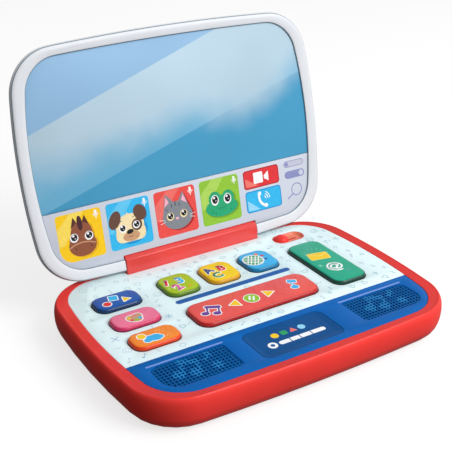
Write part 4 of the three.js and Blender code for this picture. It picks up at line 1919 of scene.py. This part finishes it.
@dataclass
class Keys:
    """The eight keys with their prints."""

    flange: float = 1.3
    flange_top: float = 20.9

    def cap(self, key: KeySpec) -> None:
        """Builds a key: a flange under the deck, straight flanks and a soft rounded crown.

        Args:
            key: the key's sizes and colours.
        """
        work = Workpiece(f"key_{key.name}_skin")
        wide = self.flange
        work.plate(key.x, key.y, key.half_x + wide, key.half_y + wide, KEY_BOTTOM, key.corner + wide, 12)
        work.step(0, 0, self.flange_top - KEY_BOTTOM)
        work.inset(wide)
        work.step(0, 0, KEY_TOP - 1.88 - self.flange_top)
        for by, up in ((0.1, 0.5), (0.22, 0.46), (0.36, 0.38), (0.5, 0.28), (0.6, 0.18), (0.6, 0.08)):
            work.inset(by, up)
        cap = work.done(48)
        finish = KeyPlastic(f"key_{key.name}_plastic", key.crown, key.flank)
        install(coat(cap, finish), f"{key.name}_key", key.slot, f"key_{key.name}")

    def print_for(self, key: KeySpec) -> Print:
        """A print on a key's crown, with its origin in the key's middle."""
        return Print(f"key_{key.name}_print", KEY_TOP, key.x + 0.4, key.y)

    def shapes(self, ink: Print) -> None:
        """A light square, a red disc and a yellow triangle.

        Args:
            ink: the key's print.
        """
        ink.outlined(Ink.CYAN, 0, Slab(-1.9, 2.4, 2.9, 2.75, 0.3, -14))
        ink.outlined(Ink.RED, 2, Oval(-8.6, -3.0, 2.7, 2.6))
        ink.outlined(Ink.YELLOW, 0, Ngon(4.9, -2.7, 3.3, 3, -12, 0.3))

    def palette(self, ink: Print) -> None:
        """A painter's palette with four blobs of paint.

        Args:
            ink: the key's print.
        """
        ink.outlined(Ink.TAN, 0, Oval(-1.6, -1.7, 5.2, 4.0, -32), Oval(1.6, 0.4, 2.9, 2.9),
                     Oval(-4.2, -0.6, 2.4))
        ink.lay(Ink.PINK, 2, Oval(0.0, 2.0, 1.0))
        ink.lay(Ink.YELLOW, 2, Oval(-4.7, -0.1, 1.3, 1.1))
        ink.lay(Ink.RED, 2, Oval(-4.0, -3.1, 1.2, 1.0))
        ink.lay(Ink.LIME, 2, Oval(-1.0, -4.1, 1.3, 1.0))
        ink.lay(Ink.CYAN, 2, Oval(1.8, -2.7, 1.4, 1.2))

    def weather(self, ink: Print) -> None:
        """A sun behind a cloud, with a few bright specks.

        Args:
            ink: the key's print.
        """
        ink.outlined(Ink.YELLOW, 0, Oval(-8.2, 2.5, 2.7))
        ink.outlined(Ink.SKY, 2, Oval(-6.6, -3.4, 2.5, 2.1, -20), Oval(-3.4, -2.0, 3.5, 3.1, -20),
                     Oval(0.0, -1.6, 3.2, 2.7, -20), Oval(2.2, -3.0, 2.0, 1.8),
                     Oval(-2.4, -3.8, 4.6, 1.8, -14))
        specks = [Oval(2.8, 4.4, 0.5), Oval(5.2, 4.0, 0.55), Oval(6.6, 1.9, 0.5), Oval(8.6, -2.2, 0.4)]
        sparks = [Oval(7.6 + 1.5 * math.cos(a), -4.6 + 1.5 * math.sin(a), 0.4) for a in (0.3, 1.9, 3.3, 4.7)]
        ink.lay(Ink.CREAM_ORANGE, 0, *specks, *sparks)

    def numbers(self, ink: Print) -> None:
        """The digits 1, 2 and 3.

        Args:
            ink: the key's print.
        """
        for digit, x, y, size, turn, colour in (("1", -7.9, 3.4, 10.2, -20, Ink.RED),
                                                ("2", -3.6, -5.0, 10.8, 18, Ink.PINK),
                                                ("3", 2.0, 2.6, 10.8, 0, Ink.CYAN)):
            ink.outlined(colour, 0, Glyph(digit, x, y, size, turn, 0.42), border=0.55)
        ink.lay(Ink.ORANGE, 0, Stroke(3.6, -7.6, 5.2, -6.8, 0.6), Stroke(4.0, -6.4, 4.9, -8.0, 0.6))
        ink.lay(Ink.PALE_LIME, 0, Stroke(-10.6, -4.9, -9.0, -4.2, 0.6),
                Stroke(-10.1, -3.8, -9.5, -5.3, 0.6))

    def letters(self, ink: Print) -> None:
        """The letters A, B and C, with small dashes round them.

        Args:
            ink: the key's print.
        """
        for letter, x, y, turn, colour in (("A", -7.2, 3.4, 16, Ink.NAVY), ("B", 2.9, 2.5, -5, Ink.RED),
                                           ("C", -4.4, -5.0, 4, Ink.GREEN)):
            ink.outlined(colour, 0, Glyph(letter, x, y, 9.6, turn, 0.36), border=0.5)
        for x, y in ((3.6, 8.6), (5.2, 7.8), (6.6, 6.6), (-10.9, -3.0), (-10.9, -5.0), (-9.3, -8.2),
                     (5.4, -4.2)):
            ink.lay(Ink.BROWN, 0, Stroke(x, y, x + 0.5, y + 0.6, 0.45))

    def globe(self, ink: Print) -> None:
        """A globe drawn with its circles of latitude and longitude, and three dots.

        Args:
            ink: the key's print.
        """
        x, y, r = -4.2, 0.2, 7.9
        ink.lay(Ink.WHITE, 0, Oval(x, y, r))
        ink.lay(Ink.GREEN, 1, Oval(x, y, r - 0.9))
        turn = math.radians(-34)
        for off in (-3.6, -1.3, 1.3, 3.6):
            half = math.sqrt((r - 0.6) ** 2 - off**2)
            c, s = math.cos(turn), math.sin(turn)
            ink.lay(Ink.WHITE, 2, Stroke(x - half * c - off * s, y - half * s + off * c,
                                         x + half * c - off * s, y + half * s + off * c, 0.75))
            ink.lay(Ink.WHITE, 2, Stroke(x - half * -s + off * c, y - half * c + off * s,
                                         x + half * -s + off * c, y + half * c + off * s, 0.75))
        ink.lay(Ink.ORANGE, 3, Oval(2.2, 6.6, 1.35))
        ink.lay(Ink.RED, 3, Oval(5.0, 2.7, 1.15))
        ink.lay(Ink.NAVY, 3, Oval(4.8, -2.4, 1.1))

    def music(self, ink: Print) -> None:
        """Joined notes, a back arrow, a pause disc, a forward arrow and a single note.

        Args:
            ink: the key's print.
        """
        ink.outlined(Ink.PURPLE, 0, *note_pair(-38.6, -1.7, 9.2, 25), border=0.7)
        ink.outlined(Ink.YELLOW, 0, Ngon(-15.4, -0.8, 4.7, 3, 180, 0.5))
        ink.outlined(Ink.LIME, 0, Oval(-2.6, -0.7, 5.1))
        ink.lay(Ink.WHITE, 2, Stroke(-4.7, -1.6, -2.5, 2.0, 1.35), Stroke(-2.6, -3.3, -0.4, 0.3, 1.35))
        ink.outlined(Ink.YELLOW, 0, Ngon(10.5, -0.7, 4.7, 3, 0, 0.5))
        ink.outlined(Ink.SKY, 0, Oval(30.7, -3.4, 2.7, 2.2, -10), Stroke(32.2, -2.6, 30.9, 2.6, 1.1),
                     Slab(33.1, 4.2, 3.1, 1.75, 0.3, -28), border=0.6)

    def mail(self, ink: Print) -> None:
        """An envelope, an at sign, a small cross and a burst of rays.

        Args:
            ink: the key's print.
        """
        ink.outlined(Ink.YELLOW, 0, Slab(-1.3, 7.4, 7.2, 4.6, 0.8, -12), border=0.55, edge=Ink.PALE_YELLOW)
        ink.lay(Ink.PALE_YELLOW, 2, Stroke(-6.6, 11.2, -0.9, 6.9, 0.75), Stroke(-0.9, 6.9, 5.6, 8.7, 0.75))
        ink.lay(Ink.WHITE, 0, Glyph("@", -1.1, -11.0, 12.6, -35, 0.3))
        ink.lay(Ink.PALE_TEAL, 0, Stroke(-11.0, -4.4, -7.2, -5.8, 0.5), Stroke(-9.8, -6.9, -8.4, -3.3, 0.5))
        for k in range(7):
            angle = math.radians(20 + 26 * k)
            c, s = math.cos(angle), math.sin(angle)
            near, far = (5.2, 7.6) if k % 2 else (5.6, 6.8)
            ink.lay(Ink.RAY_TEAL, 0, Stroke(-1.6 + near * 1.25 * c, 12.6 + near * s, -1.6 + far * 1.25 * c,
                                            12.6 + far * s, 0.45))
        ink.lay(Ink.SLATE, 0, Stroke(3.6, -19.2, 5.0, -20.0, 0.5), Stroke(3.9, -20.3, 4.7, -18.9, 0.5))

    def build(self) -> None:
        """Builds every key and its print."""
        for key in KEYS:
            self.cap(key)
            ink = self.print_for(key)
            getattr(self, key.name)(ink)
            install(ink.done(), f"{key.name}_key", key.slot)


# ---- the lid


@dataclass
class Lid:
    """The lid: a rounded grey frame, its back shell, the mirror and the picture strip."""

    bar_radius: float = 5.6
    bar_half: float = 54.9

    def cut_bar_room(self, piece: Piece) -> None:
        """Leaves room for the hinge bar, round the hinge's axis and below it.

        Args:
            piece: one of the lid's pieces.
        """
        carve(piece, block("bar_room", 0, HINGE_ON_LID_Y - 15, self.bar_half, 15, -20, 6))
        work = Workpiece("bar_round")
        bpy.ops.mesh.primitive_cylinder_add(
            vertices=96, radius=self.bar_radius * MM, depth=2 * self.bar_half * MM,
            location=mm(0, HINGE_ON_LID_Y, HINGE_ON_LID_Z), rotation=(0, math.pi / 2, 0))
        carve(piece, work.done(0))

    def frame(self) -> None:
        """Builds the frame: a rounded section that rises to a crest and dips to the window."""
        rings = [(WINDOW, 0.0, -1.2), (WINDOW, 0.0, -0.95), (WINDOW, -0.12, -0.72), (WINDOW, -0.5, -0.52),
                 (WINDOW, -1.2, -0.32), (WINDOW, -2.3, -0.13), (WINDOW, -3.6, -0.02), (LID, 3.8, 0.0),
                 (LID, 3.0, -0.04), (LID, 2.3, -0.14), (LID, 1.6, -0.36), (LID, 1.0, -0.72),
                 (LID, 0.5, -1.25),
                 (LID, 0.15, -1.95), (LID, 0.0, -2.8), (LID, 0.12, -3.7), (LID, 0.5, -4.65), (LID, 1.1, -5.5),
                 (LID, 1.6, -6.1), (LID, 2.2, -6.5), (LID, 4.6, -6.5), (LID, 4.6, -3.6), (WINDOW, -1.8, -3.6),
                 (WINDOW, -1.8, -1.2)]
        piece = skin("lid_frame_skin", rings, True)
        self.cut_bar_room(piece)
        # The window's inner wall is painted dark grey, as painted shade.
        dark = [face.index for face in piece.data.polygons
                if -1.25 * MM < face.center.z < -0.6 * MM and abs(face.normal.z) < 0.9]
        coat(settle(piece, 40, lid_place()), GREY, EDGE)
        for index in dark:
            piece.data.polygons[index].material_index = 1
        install(piece, "lid", "lid_grey", "lid_frame")

    def back(self) -> None:
        """Builds the back shell: domed edges, a flat middle, hollow above the hinge."""
        outer = [(LID, 2.3, -6.8), (LID, 2.7, -7.35), (LID, 3.5, -8.0), (LID, 5.0, -8.75), (LID, 6.8, -9.35),
                 (LID, 9.0, -9.85), (LID, 11.5, -10.2), (LID, 14.0, -10.4)]
        piece = skin("lid_back_skin", outer, False)
        inner = [(LID, 4.2, -6.5), (LID, 4.3, -6.82), (LID, 6.6, -7.4), (LID, 10.5, -8.5), (LID, 15.5, -8.9)]
        hollow = skin("hollow", inner, False)
        carve(hollow, block("below", 0, 10.2 - 30, 140, 30, -20, 10))
        carve(piece, hollow)
        self.cut_bar_room(piece)
        install(coat(settle(piece, 40, lid_place()), GREY), "lid", "lid_grey", "lid_back")

    def panel(self, name: str, height: float, keep_above: bool) -> Piece:
        """One of the two panels behind the frame, cut from the window's outline.

        Args:
            name: the panel's name.
            height: where along the lid it is cut.
            keep_above: whether what is above the cut stays.

        Returns:
            The panel.
        """
        work = Workpiece(name)
        WINDOW.inset(-1.5).draw(work, PANEL_BACK)
        bpy.ops.mesh.edge_face_add()
        work.step(0, 0, PANEL_FRONT - PANEL_BACK)
        work.everything()
        side = 1 if keep_above else -1
        bpy.ops.mesh.bisect(plane_co=mm(0, height, 0), plane_no=(0, side, 0), use_fill=True, clear_inner=True)
        return work.done(0)

    def panels(self) -> None:
        """Builds the mirror and the strip under it."""
        mirror = self.panel("mirror_skin", STRIP_TOP + 0.15, True)
        soften(mirror, 0.2, 2, 50)
        install(coat(settle(mirror, 40, lid_place()), PaintedReflectionFilm()), "lid", "mirror_film", "mirror_screen")
        strip = self.panel("strip_skin", STRIP_TOP - 0.15, False)
        carve(strip, block("below", 0, 3.1 - 20, 140, 20, -20, 10))
        self.cut_bar_room(strip)
        soften(strip, 0.15, 2, 50)
        install(coat(settle(strip, 40, lid_place()), STRIP), "lid", "strip_print", "picture_strip")

    def build(self) -> None:
        """Builds the lid's four pieces."""
        self.frame()
        self.back()
        self.panels()


@dataclass
class Tiles:
    """The pictures on the strip: four animals, two call buttons and three small controls."""

    first: float = -99.95
    pitch: float = 36.98
    width: float = 32.9
    low: float = 10.9
    height: float = 33.4
    shadow: Ink = Ink.DEEP_YELLOW

    def tile(self, index: int, name: str, back: Ink, beam: Ink, shadow: Ink) -> Print:
        """Starts a tile: its coloured ground, a slanted beam of light, and the talk sign.

        Args:
            index: 0 for the leftmost.
            name: the animal's name.
            back: the ground's ink.
            beam: the light beam's ink.
            shadow: the ink of the shadow under the head.

        Returns:
            The print, with its origin in the tile's lower left corner.
        """
        ink = Print(f"tile_{name}", PANEL_FRONT, self.first + index * self.pitch, self.low)
        wide, tall = self.width, self.height
        ink.lay(back, 0, Slab(wide / 2, tall / 2, wide / 2, tall / 2, 2.4))
        if index == 0:
            ink.lay(Ink.STRIP_GREY, 1,
                    Poly(((-0.2, -0.2), (8.5, -0.2), (4.2, 1.4), (1.6, 4.2), (-0.2, 9.0))))
        ink.lay(beam, 1,
                Poly(((10.5, tall - 0.3), (20.6, tall - 0.3), (3.6, 12.0), (0.3, 12.4), (0.3, 23.6))))
        ink.lay(Ink.WHITE, 2, Slab(29.3, 30.3, 0.95, 1.8, 0.95), Arc(29.3, 29.7, 1.8, 180, 180, 0.5),
                Stroke(29.3, 27.9, 29.3, 26.3, 0.6))
        self.shadow = shadow
        return ink

    def eyes(self, ink: Print, places: Sequence[Point], radius: float, white: Ink, tall: float = 1.0) -> None:
        """A pair of round eyes with dark pupils and a highlight.

        Args:
            ink: the tile's print.
            places: the eyes' middles.
            radius: half their width.
            white: the eyeballs' ink.
            tall: their height over their width.
        """
        for x, y in places:
            ink.lay(white, 4, Oval(x, y, radius, radius * tall))
            ink.lay(Ink.BLACK, 5, Oval(x + 0.1, y + 0.35, radius * 0.74, radius * 0.76 * tall))
            ink.lay(Ink.WHITE, 6, Oval(x - 0.5, y + 1.5 * tall, radius * 0.27),
                    Oval(x + 0.7, y - 0.5, radius * 0.12))

    def horse(self) -> None:
        """A brown horse on yellow."""
        ink = self.tile(0, "horse", Ink.YELLOW, Ink.BEAM_YELLOW, Ink.DEEP_YELLOW)
        ink.lay(self.shadow, 2, Oval(18.2, 9.6, 10.4, 8.0), Oval(19.0, 17.5, 7.6, 9.2))
        ink.lay(Ink.BROWN, 3, Oval(17.0, 10.3, 10.1, 7.8, 0), Oval(17.1, 17.4, 8.1, 9.6, -4),
                Oval(17.0, 14.0, 9.2, 8.0))
        ink.lay(Ink.DARK_BROWN, 3, Poly(((9.9, 22.6), (14.6, 26.6), (12.4, 30.4))),
                Poly(((18.7, 26.4), (23.4, 23.6), (20.8, 30.6))))
        ink.lay(Ink.MANE, 4, Oval(16.8, 25.6, 1.9, 5.2, 2))
        ink.lay(Ink.TAN, 4, Arc(16.9, -8.8, 21.0, 63, 55, 0.8))
        ink.lay(Ink.DARK_BROWN, 5, Stroke(11.4, 8.9, 12.1, 7.7, 0.6), Stroke(22.8, 9.2, 23.4, 8.0, 0.6))
        self.eyes(ink, ((11.4, 16.2), (22.2, 15.7)), 3.1, Ink.WHITE)
        self.fit(ink)

    def dog(self) -> None:
        """A cream dog with brown ears on light blue."""
        ink = self.tile(1, "dog", Ink.CYAN, Ink.BEAM_CYAN, Ink.DEEP_CYAN)
        ink.lay(self.shadow, 2, Oval(17.4, 11.6, 12.0, 9.6), Oval(26.0, 21.8, 4.3, 6.2),
                Oval(6.0, 20.0, 4.0, 6.2))
        ink.lay(Ink.CREAM, 3, Oval(16.2, 15.2, 11.0, 8.6), Slab(16.3, 9.6, 11.4, 5.6, 4.6),
                Ngon(15.3, 22.4, 2.6, 3, 96))
        ink.lay(Ink.COCOA, 4, Oval(5.4, 21.2, 4.2, 6.6, -26), Oval(24.9, 22.9, 4.7, 5.9, 26))
        ink.lay(Ink.COCOA, 4, Oval(21.5, 14.9, 4.1, 4.3))
        ink.lay(Ink.TAN, 4, Oval(16.4, 7.7, 6.5, 3.5, 2))
        ink.lay(Ink.BLACK, 5, Oval(15.7, 11.1, 2.7, 1.6, 8), Oval(9.6, 19.6, 0.4), Oval(19.4, 20.6, 0.4))
        ink.lay(Ink.COCOA, 5, Arc(16.0, 8.8, 1.6, 200, 140, 0.35))
        self.eyes(ink, ((10.4, 14.1), (21.2, 14.9)), 2.8, Ink.WHITE)
        self.fit(ink)

    def cat(self) -> None:
        """A grey cat on red."""
        ink = self.tile(2, "cat", Ink.TILE_RED, Ink.BEAM_RED, Ink.DARK_RED)
        ink.lay(self.shadow, 2, Oval(18.4, 12.4, 12.2, 9.6),
                Poly(((20.5, 22.0), (28.8, 18.0), (24.2, 28.6))))
        ink.lay(Ink.CAT_GREY, 3, Oval(17.0, 13.2, 12.0, 9.4), Oval(16.8, 16.8, 9.8, 7.6),
                Poly(((5.8, 17.0), (14.6, 24.2), (9.2, 30.6))),
                Poly(((18.8, 24.2), (27.8, 17.0), (22.9, 30.4))))
        ink.lay(Ink.PALE_PINK, 4, Poly(((7.3, 21.4), (11.2, 24.2), (9.1, 28.6))),
                Poly(((21.2, 24.2), (25.6, 21.2), (23.2, 28.4))))
        ink.lay(Ink.DARK_GREY, 4, Stroke(16.2, 24.0, 16.0, 21.4, 0.9), Stroke(13.0, 22.6, 13.1, 20.6, 0.8),
                Stroke(19.3, 22.6, 19.0, 20.6, 0.8), Stroke(8.0, 19.6, 9.4, 18.6, 0.6))
        ink.lay(Ink.WHITE, 4, Stroke(2.4, 12.9, 6.6, 12.2, 0.3), Stroke(2.9, 10.0, 6.8, 10.9, 0.3),
                Stroke(27.0, 12.2, 31.0, 13.0, 0.3), Stroke(26.8, 10.9, 30.6, 10.0, 0.3))
        ink.lay(Ink.PALE_PINK, 5, Oval(16.5, 11.8, 1.3, 0.9))
        self.eyes(ink, ((11.1, 14.0), (22.0, 14.2)), 2.9, Ink.CREAM)
        self.fit(ink)

    def frog(self) -> None:
        """A green frog on lime."""
        ink = self.tile(3, "frog", Ink.TILE_LIME, Ink.BEAM_LIME, Ink.DEEP_LIME)
        ink.lay(self.shadow, 2, Oval(18.0, 10.6, 13.9, 7.0), Oval(24.2, 16.6, 5.2))
        ink.lay(Ink.FROG, 3, Oval(16.8, 11.5, 13.6, 6.9, -2), Oval(11.6, 18.4, 5.1, 5.6),
                Oval(22.8, 17.7, 5.1, 5.6),
                Oval(17.0, 15.0, 8.5, 5.6))
        ink.lay(Ink.DEEP_GREEN, 4, Arc(16.6, 20.4, 9.6, 243, 54, 0.35), Oval(9.0, 9.0, 0.5),
                Oval(11.2, 7.8, 0.6),
                Oval(24.6, 8.6, 0.5), Stroke(10.2, 22.9, 12.0, 23.2, 0.4),
                Stroke(22.6, 22.3, 24.2, 22.0, 0.4))
        self.eyes(ink, ((11.6, 17.6), (22.3, 16.9)), 3.2, Ink.WHITE, 1.22)
        self.fit(ink)

    def calls(self) -> None:
        """The red video button and the blue telephone button."""
        ink = Print("call_buttons", PANEL_FRONT)
        ink.lay(Ink.DARK_RED, 0, Slab(64.3, 37.0, 15.75, 7.1, 2.4))
        ink.lay(Ink.RED, 1, Slab(64.3, 37.0, 14.95, 6.3, 1.8))
        ink.lay(Ink.LIGHT_RED, 2, Poly(((50.2, 31.6), (61.0, 31.4), (50.0, 38.2))))
        ink.lay(Ink.WHITE, 3, Slab(61.4, 37.3, 4.1, 4.2, 0.8),
                Poly(((66.6, 38.0), (70.6, 40.9), (70.6, 33.4), (66.6, 35.6))))
        ink.lay(Ink.DEEP_CYAN, 0, Slab(64.6, 20.1, 15.8, 8.1, 2.4))
        ink.lay(Ink.CYAN, 1, Slab(64.6, 20.1, 15.0, 7.3, 1.8))
        ink.lay(Ink.PALE_CYAN, 2, Poly(((50.4, 13.6), (60.6, 13.4), (50.2, 21.6))))
        ink.lay(Ink.WHITE, 3, Arc(68.5, 22.7, 8.1, 160, 92, 1.9), Oval(61.1, 25.0, 1.7, 1.5, 70),
                Oval(65.9, 15.3, 1.7, 1.5, -20))
        for radius in (2.2, 3.9, 5.6):
            ink.lay(Ink.WHITE, 3, Arc(64.2, 20.4, radius, 0, 66, 0.62))
        self.fit(ink)

    def controls(self) -> None:
        """An open toggle, a filled toggle and a magnifying glass."""
        ink = Print("control_signs", PANEL_FRONT)
        ink.lay(Ink.SLATE, 0, Slab(94.2, 41.7, 9.1, 2.4, 2.4))
        ink.lay(Ink.STRIP_GREY, 1, Slab(94.2, 41.7, 8.6, 1.9, 1.9))
        ink.lay(Ink.SLATE, 2, Oval(87.7, 41.7, 1.6))
        ink.lay(Ink.SLATE, 0, Slab(94.3, 33.4, 9.1, 2.9, 2.9))
        ink.lay(Ink.PALE_SLATE, 1, Oval(100.3, 33.4, 2.1))
        ink.lay(Ink.SLATE, 0, Arc(94.9, 21.4, 4.6, 0, 360, 0.75), Stroke(91.4, 18.6, 86.4, 15.4, 1.0))
        self.fit(ink)

    def fit(self, ink: Print) -> None:
        """Lays a finished print on the lid."""
        install(ink.done(lid_place()), "lid", "strip_print")

    def build(self) -> None:
        """Prints the whole strip."""
        self.horse()
        self.dog()
        self.cat()
        self.frog()
        self.calls()
        self.controls()


# ---- underneath


@dataclass
class Underside:
    """What shows from below: the battery door with its grip, and the cross-head screws."""

    ridge_count: int = 5

    def door(self) -> None:
        """Refines the battery door and adds grip ridges across it."""
        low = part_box("battery_door")[0]
        door = copy_of("battery_door", "battery_door_skin", 0.25)
        for index in range(self.ridge_count):
            y = low.y / MM + 6.0 + 2.4 * index
            groove = block("groove", 0, y, 9.0, 0.5, low.z / MM - 1.0, low.z / MM + 0.45, 0.5, 4)
            carve(door, groove)
        install(coat(level(settle(door, 40)), RED), "battery_cover", "red_shell", "battery_door")

    def screw(self, node: str, body: str) -> None:
        """Replaces a screw: its pan head gets a cross recess and a rounded edge.

        Args:
            node: the screw's CAD node.
            body: the body that it rides on.
        """
        low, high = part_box(node)
        x, y = (low.x + high.x) / 2 / MM, (low.y + high.y) / 2 / MM
        screw = copy_of(node, f"{node}_skin", 0.15)
        bottom = low.z / MM
        reach = (high.x - low.x) / 2 / MM * 0.62
        for wide, deep in ((reach, 0.32), (0.32, reach)):
            carve(screw, block("cross", x, y, wide, deep, bottom - 1.0, bottom + 0.8))
        install(coat(settle(screw, 35), STEEL), body, "steel", node)

    def build(self) -> None:
        """Builds the door and the screws."""
        self.door()
        self.screw("battery_door_screw", "battery_cover")
        for index in range(1, 5):
            self.screw(f"case_screw_{index}", "base")


@dataclass
class Inside:
    """The working parts out of sight, which keep their CAD shapes and get real finishes."""

    def dress(self) -> None:
        """Gives each carried-over node its finish."""
        finishes: dict[str, Finish] = {
            "hinge_pin": STEEL, "battery_contact": STEEL, "board_screw": STEEL, "slide_switch": BLACK,
            "circuit_board": BoardFinish(), "speaker_lead": LEAD, "battery_lead": LEAD, "speaker": BLACK,
            "dome_": SILICONE, "battery_1": SLEEVE, "battery_2": SLEEVE, "battery_3": SLEEVE,
        }
        for start, finish in finishes.items():
            material = finish.material()
            names = [n for n in frame["nodes"] if n.startswith(start)]
            for name in names:
                if start == "speaker" and name != "speaker":
                    continue
                node = frame["nodes"][name]
                node.data.materials.clear()
                node.data.materials.append(material)
                LOG.info("%s dressed in %s", name, material.name)


# ---- studio


@dataclass
class Studio:
    """The floor, the soft lights and the camera."""

    target: tuple[float, float, float] = (45.93, 101.79, 24.0)
    azimuth: float = -32.18
    elevation: float = 25.52
    distance: float = 749.8
    lens: float = 77.54

    def camera(self) -> None:
        """Sets the camera up in front of the toy, to its left and above it."""
        a, e = math.radians(self.azimuth), math.radians(self.elevation)
        back = Vector((math.sin(a) * math.cos(e), -math.cos(a) * math.cos(e), math.sin(e)))
        target = Vector(mm(*self.target))
        clear_bench()
        bpy.ops.object.camera_add(location=target + back * self.distance * MM,
                                  rotation=(-back).to_track_quat("-Z", "Y").to_euler())
        camera = bpy.context.object
        camera.name = "studio_camera"
        camera.data.lens = self.lens
        camera.data.sensor_width = 36.0
        camera.data.sensor_fit = "HORIZONTAL"
        camera.data.clip_start = 0.01
        bpy.context.scene.camera = camera

    def floor(self) -> None:
        """Lays the pale floor."""
        clear_bench()
        bpy.ops.mesh.primitive_plane_add(size=8.0, location=(0.0, 0.0, 0.0))
        floor = bpy.context.object
        floor.name = "studio_floor"
        recipe = Recipe("studio_floor_paper")
        tone = recipe.spread(recipe.noise(600.0), 0.0, 1.0)
        recipe.feed("Base Color", recipe.blend(tone, (154, 154, 154), (157, 157, 157)))
        recipe.set("Roughness", 0.85)
        recipe.set("Specular IOR Level", 0.05)
        recipe.shader.inputs["Emission Color"].default_value = (1.0, 1.0, 1.0, 1.0)
        recipe.set("Emission Strength", 0.72)
        floor.data.materials.append(recipe.material)
        floor.visible_diffuse = False
        floor.visible_glossy = False

    def lamp(self, name: str, at: tuple[float, float, float], size: float, power: float,
             aim: tuple[float, float, float] = (0.0, 0.0, 0.05)) -> None:
        """Hangs one square soft light, aimed at a point.

        Args:
            name: the light's name.
            at: its place in metres.
            size: its side in metres.
            power: its power in watts.
            aim: the point that it faces.
        """
        clear_bench()
        turn = (Vector(aim) - Vector(at)).to_track_quat("-Z", "Y").to_euler()
        bpy.ops.object.light_add(type="AREA", location=at, rotation=turn)
        lamp = bpy.context.object
        lamp.name = name
        lamp.data.shape = "SQUARE"
        lamp.data.size = size
        lamp.data.energy = power

    def surround(self) -> None:
        """Lights the room softly, brighter from above and the right than from the left."""
        world = bpy.data.worlds.new("studio_room")
        bpy.context.scene.world = world
        world.use_nodes = True
        nodes, links = world.node_tree.nodes, world.node_tree.links
        background = nodes["Background"]
        place = nodes.new("ShaderNodeTexCoord").outputs["Generated"]
        lean = nodes.new("ShaderNodeVectorMath")
        lean.operation = "DOT_PRODUCT"
        lean.inputs[1].default_value = (0.30, -0.14, 0.20)
        links.new(place, lean.inputs[0])
        level = nodes.new("ShaderNodeMath")
        level.operation = "ADD"
        level.inputs[1].default_value = 0.40
        links.new(lean.outputs["Value"], level.inputs[0])
        split = nodes.new("ShaderNodeSeparateXYZ")
        links.new(place, split.inputs["Vector"])
        below = nodes.new("ShaderNodeMapRange")
        below.interpolation_type = "SMOOTHSTEP"
        below.inputs["From Min"].default_value = -0.35
        below.inputs["From Max"].default_value = 0.15
        below.inputs["To Min"].default_value = 0.5
        links.new(split.outputs["Z"], below.inputs["Value"])
        total = nodes.new("ShaderNodeMath")
        total.operation = "MULTIPLY"
        links.new(level.outputs[0], total.inputs[0])
        links.new(below.outputs["Result"], total.inputs[1])
        links.new(total.outputs[0], background.inputs["Strength"])
        background.inputs["Color"].default_value = (1.0, 1.0, 1.0, 1.0)

    def build(self) -> None:
        """Builds the studio."""
        self.camera()
        self.floor()
        self.surround()
        self.lamp("key_light", (0.6, -0.93, 1.05), 0.9, 16.5)
        bpy.context.scene.view_settings.view_transform = "Standard"


def main() -> None:
    """Builds the studio and every part of the toy, in order."""
    logging.basicConfig(level=logging.INFO, format="%(name)s: %(message)s")
    Studio().build()
    Inside().dress()
    Base().build()
    Doodles().build()
    HingeBar().build()
    SlideSwitch().build()
    Keys().build()
    Lid().build()
    Tiles().build()
    Underside().build()
    clear_bench()


if __name__ == "__main__":
    main()
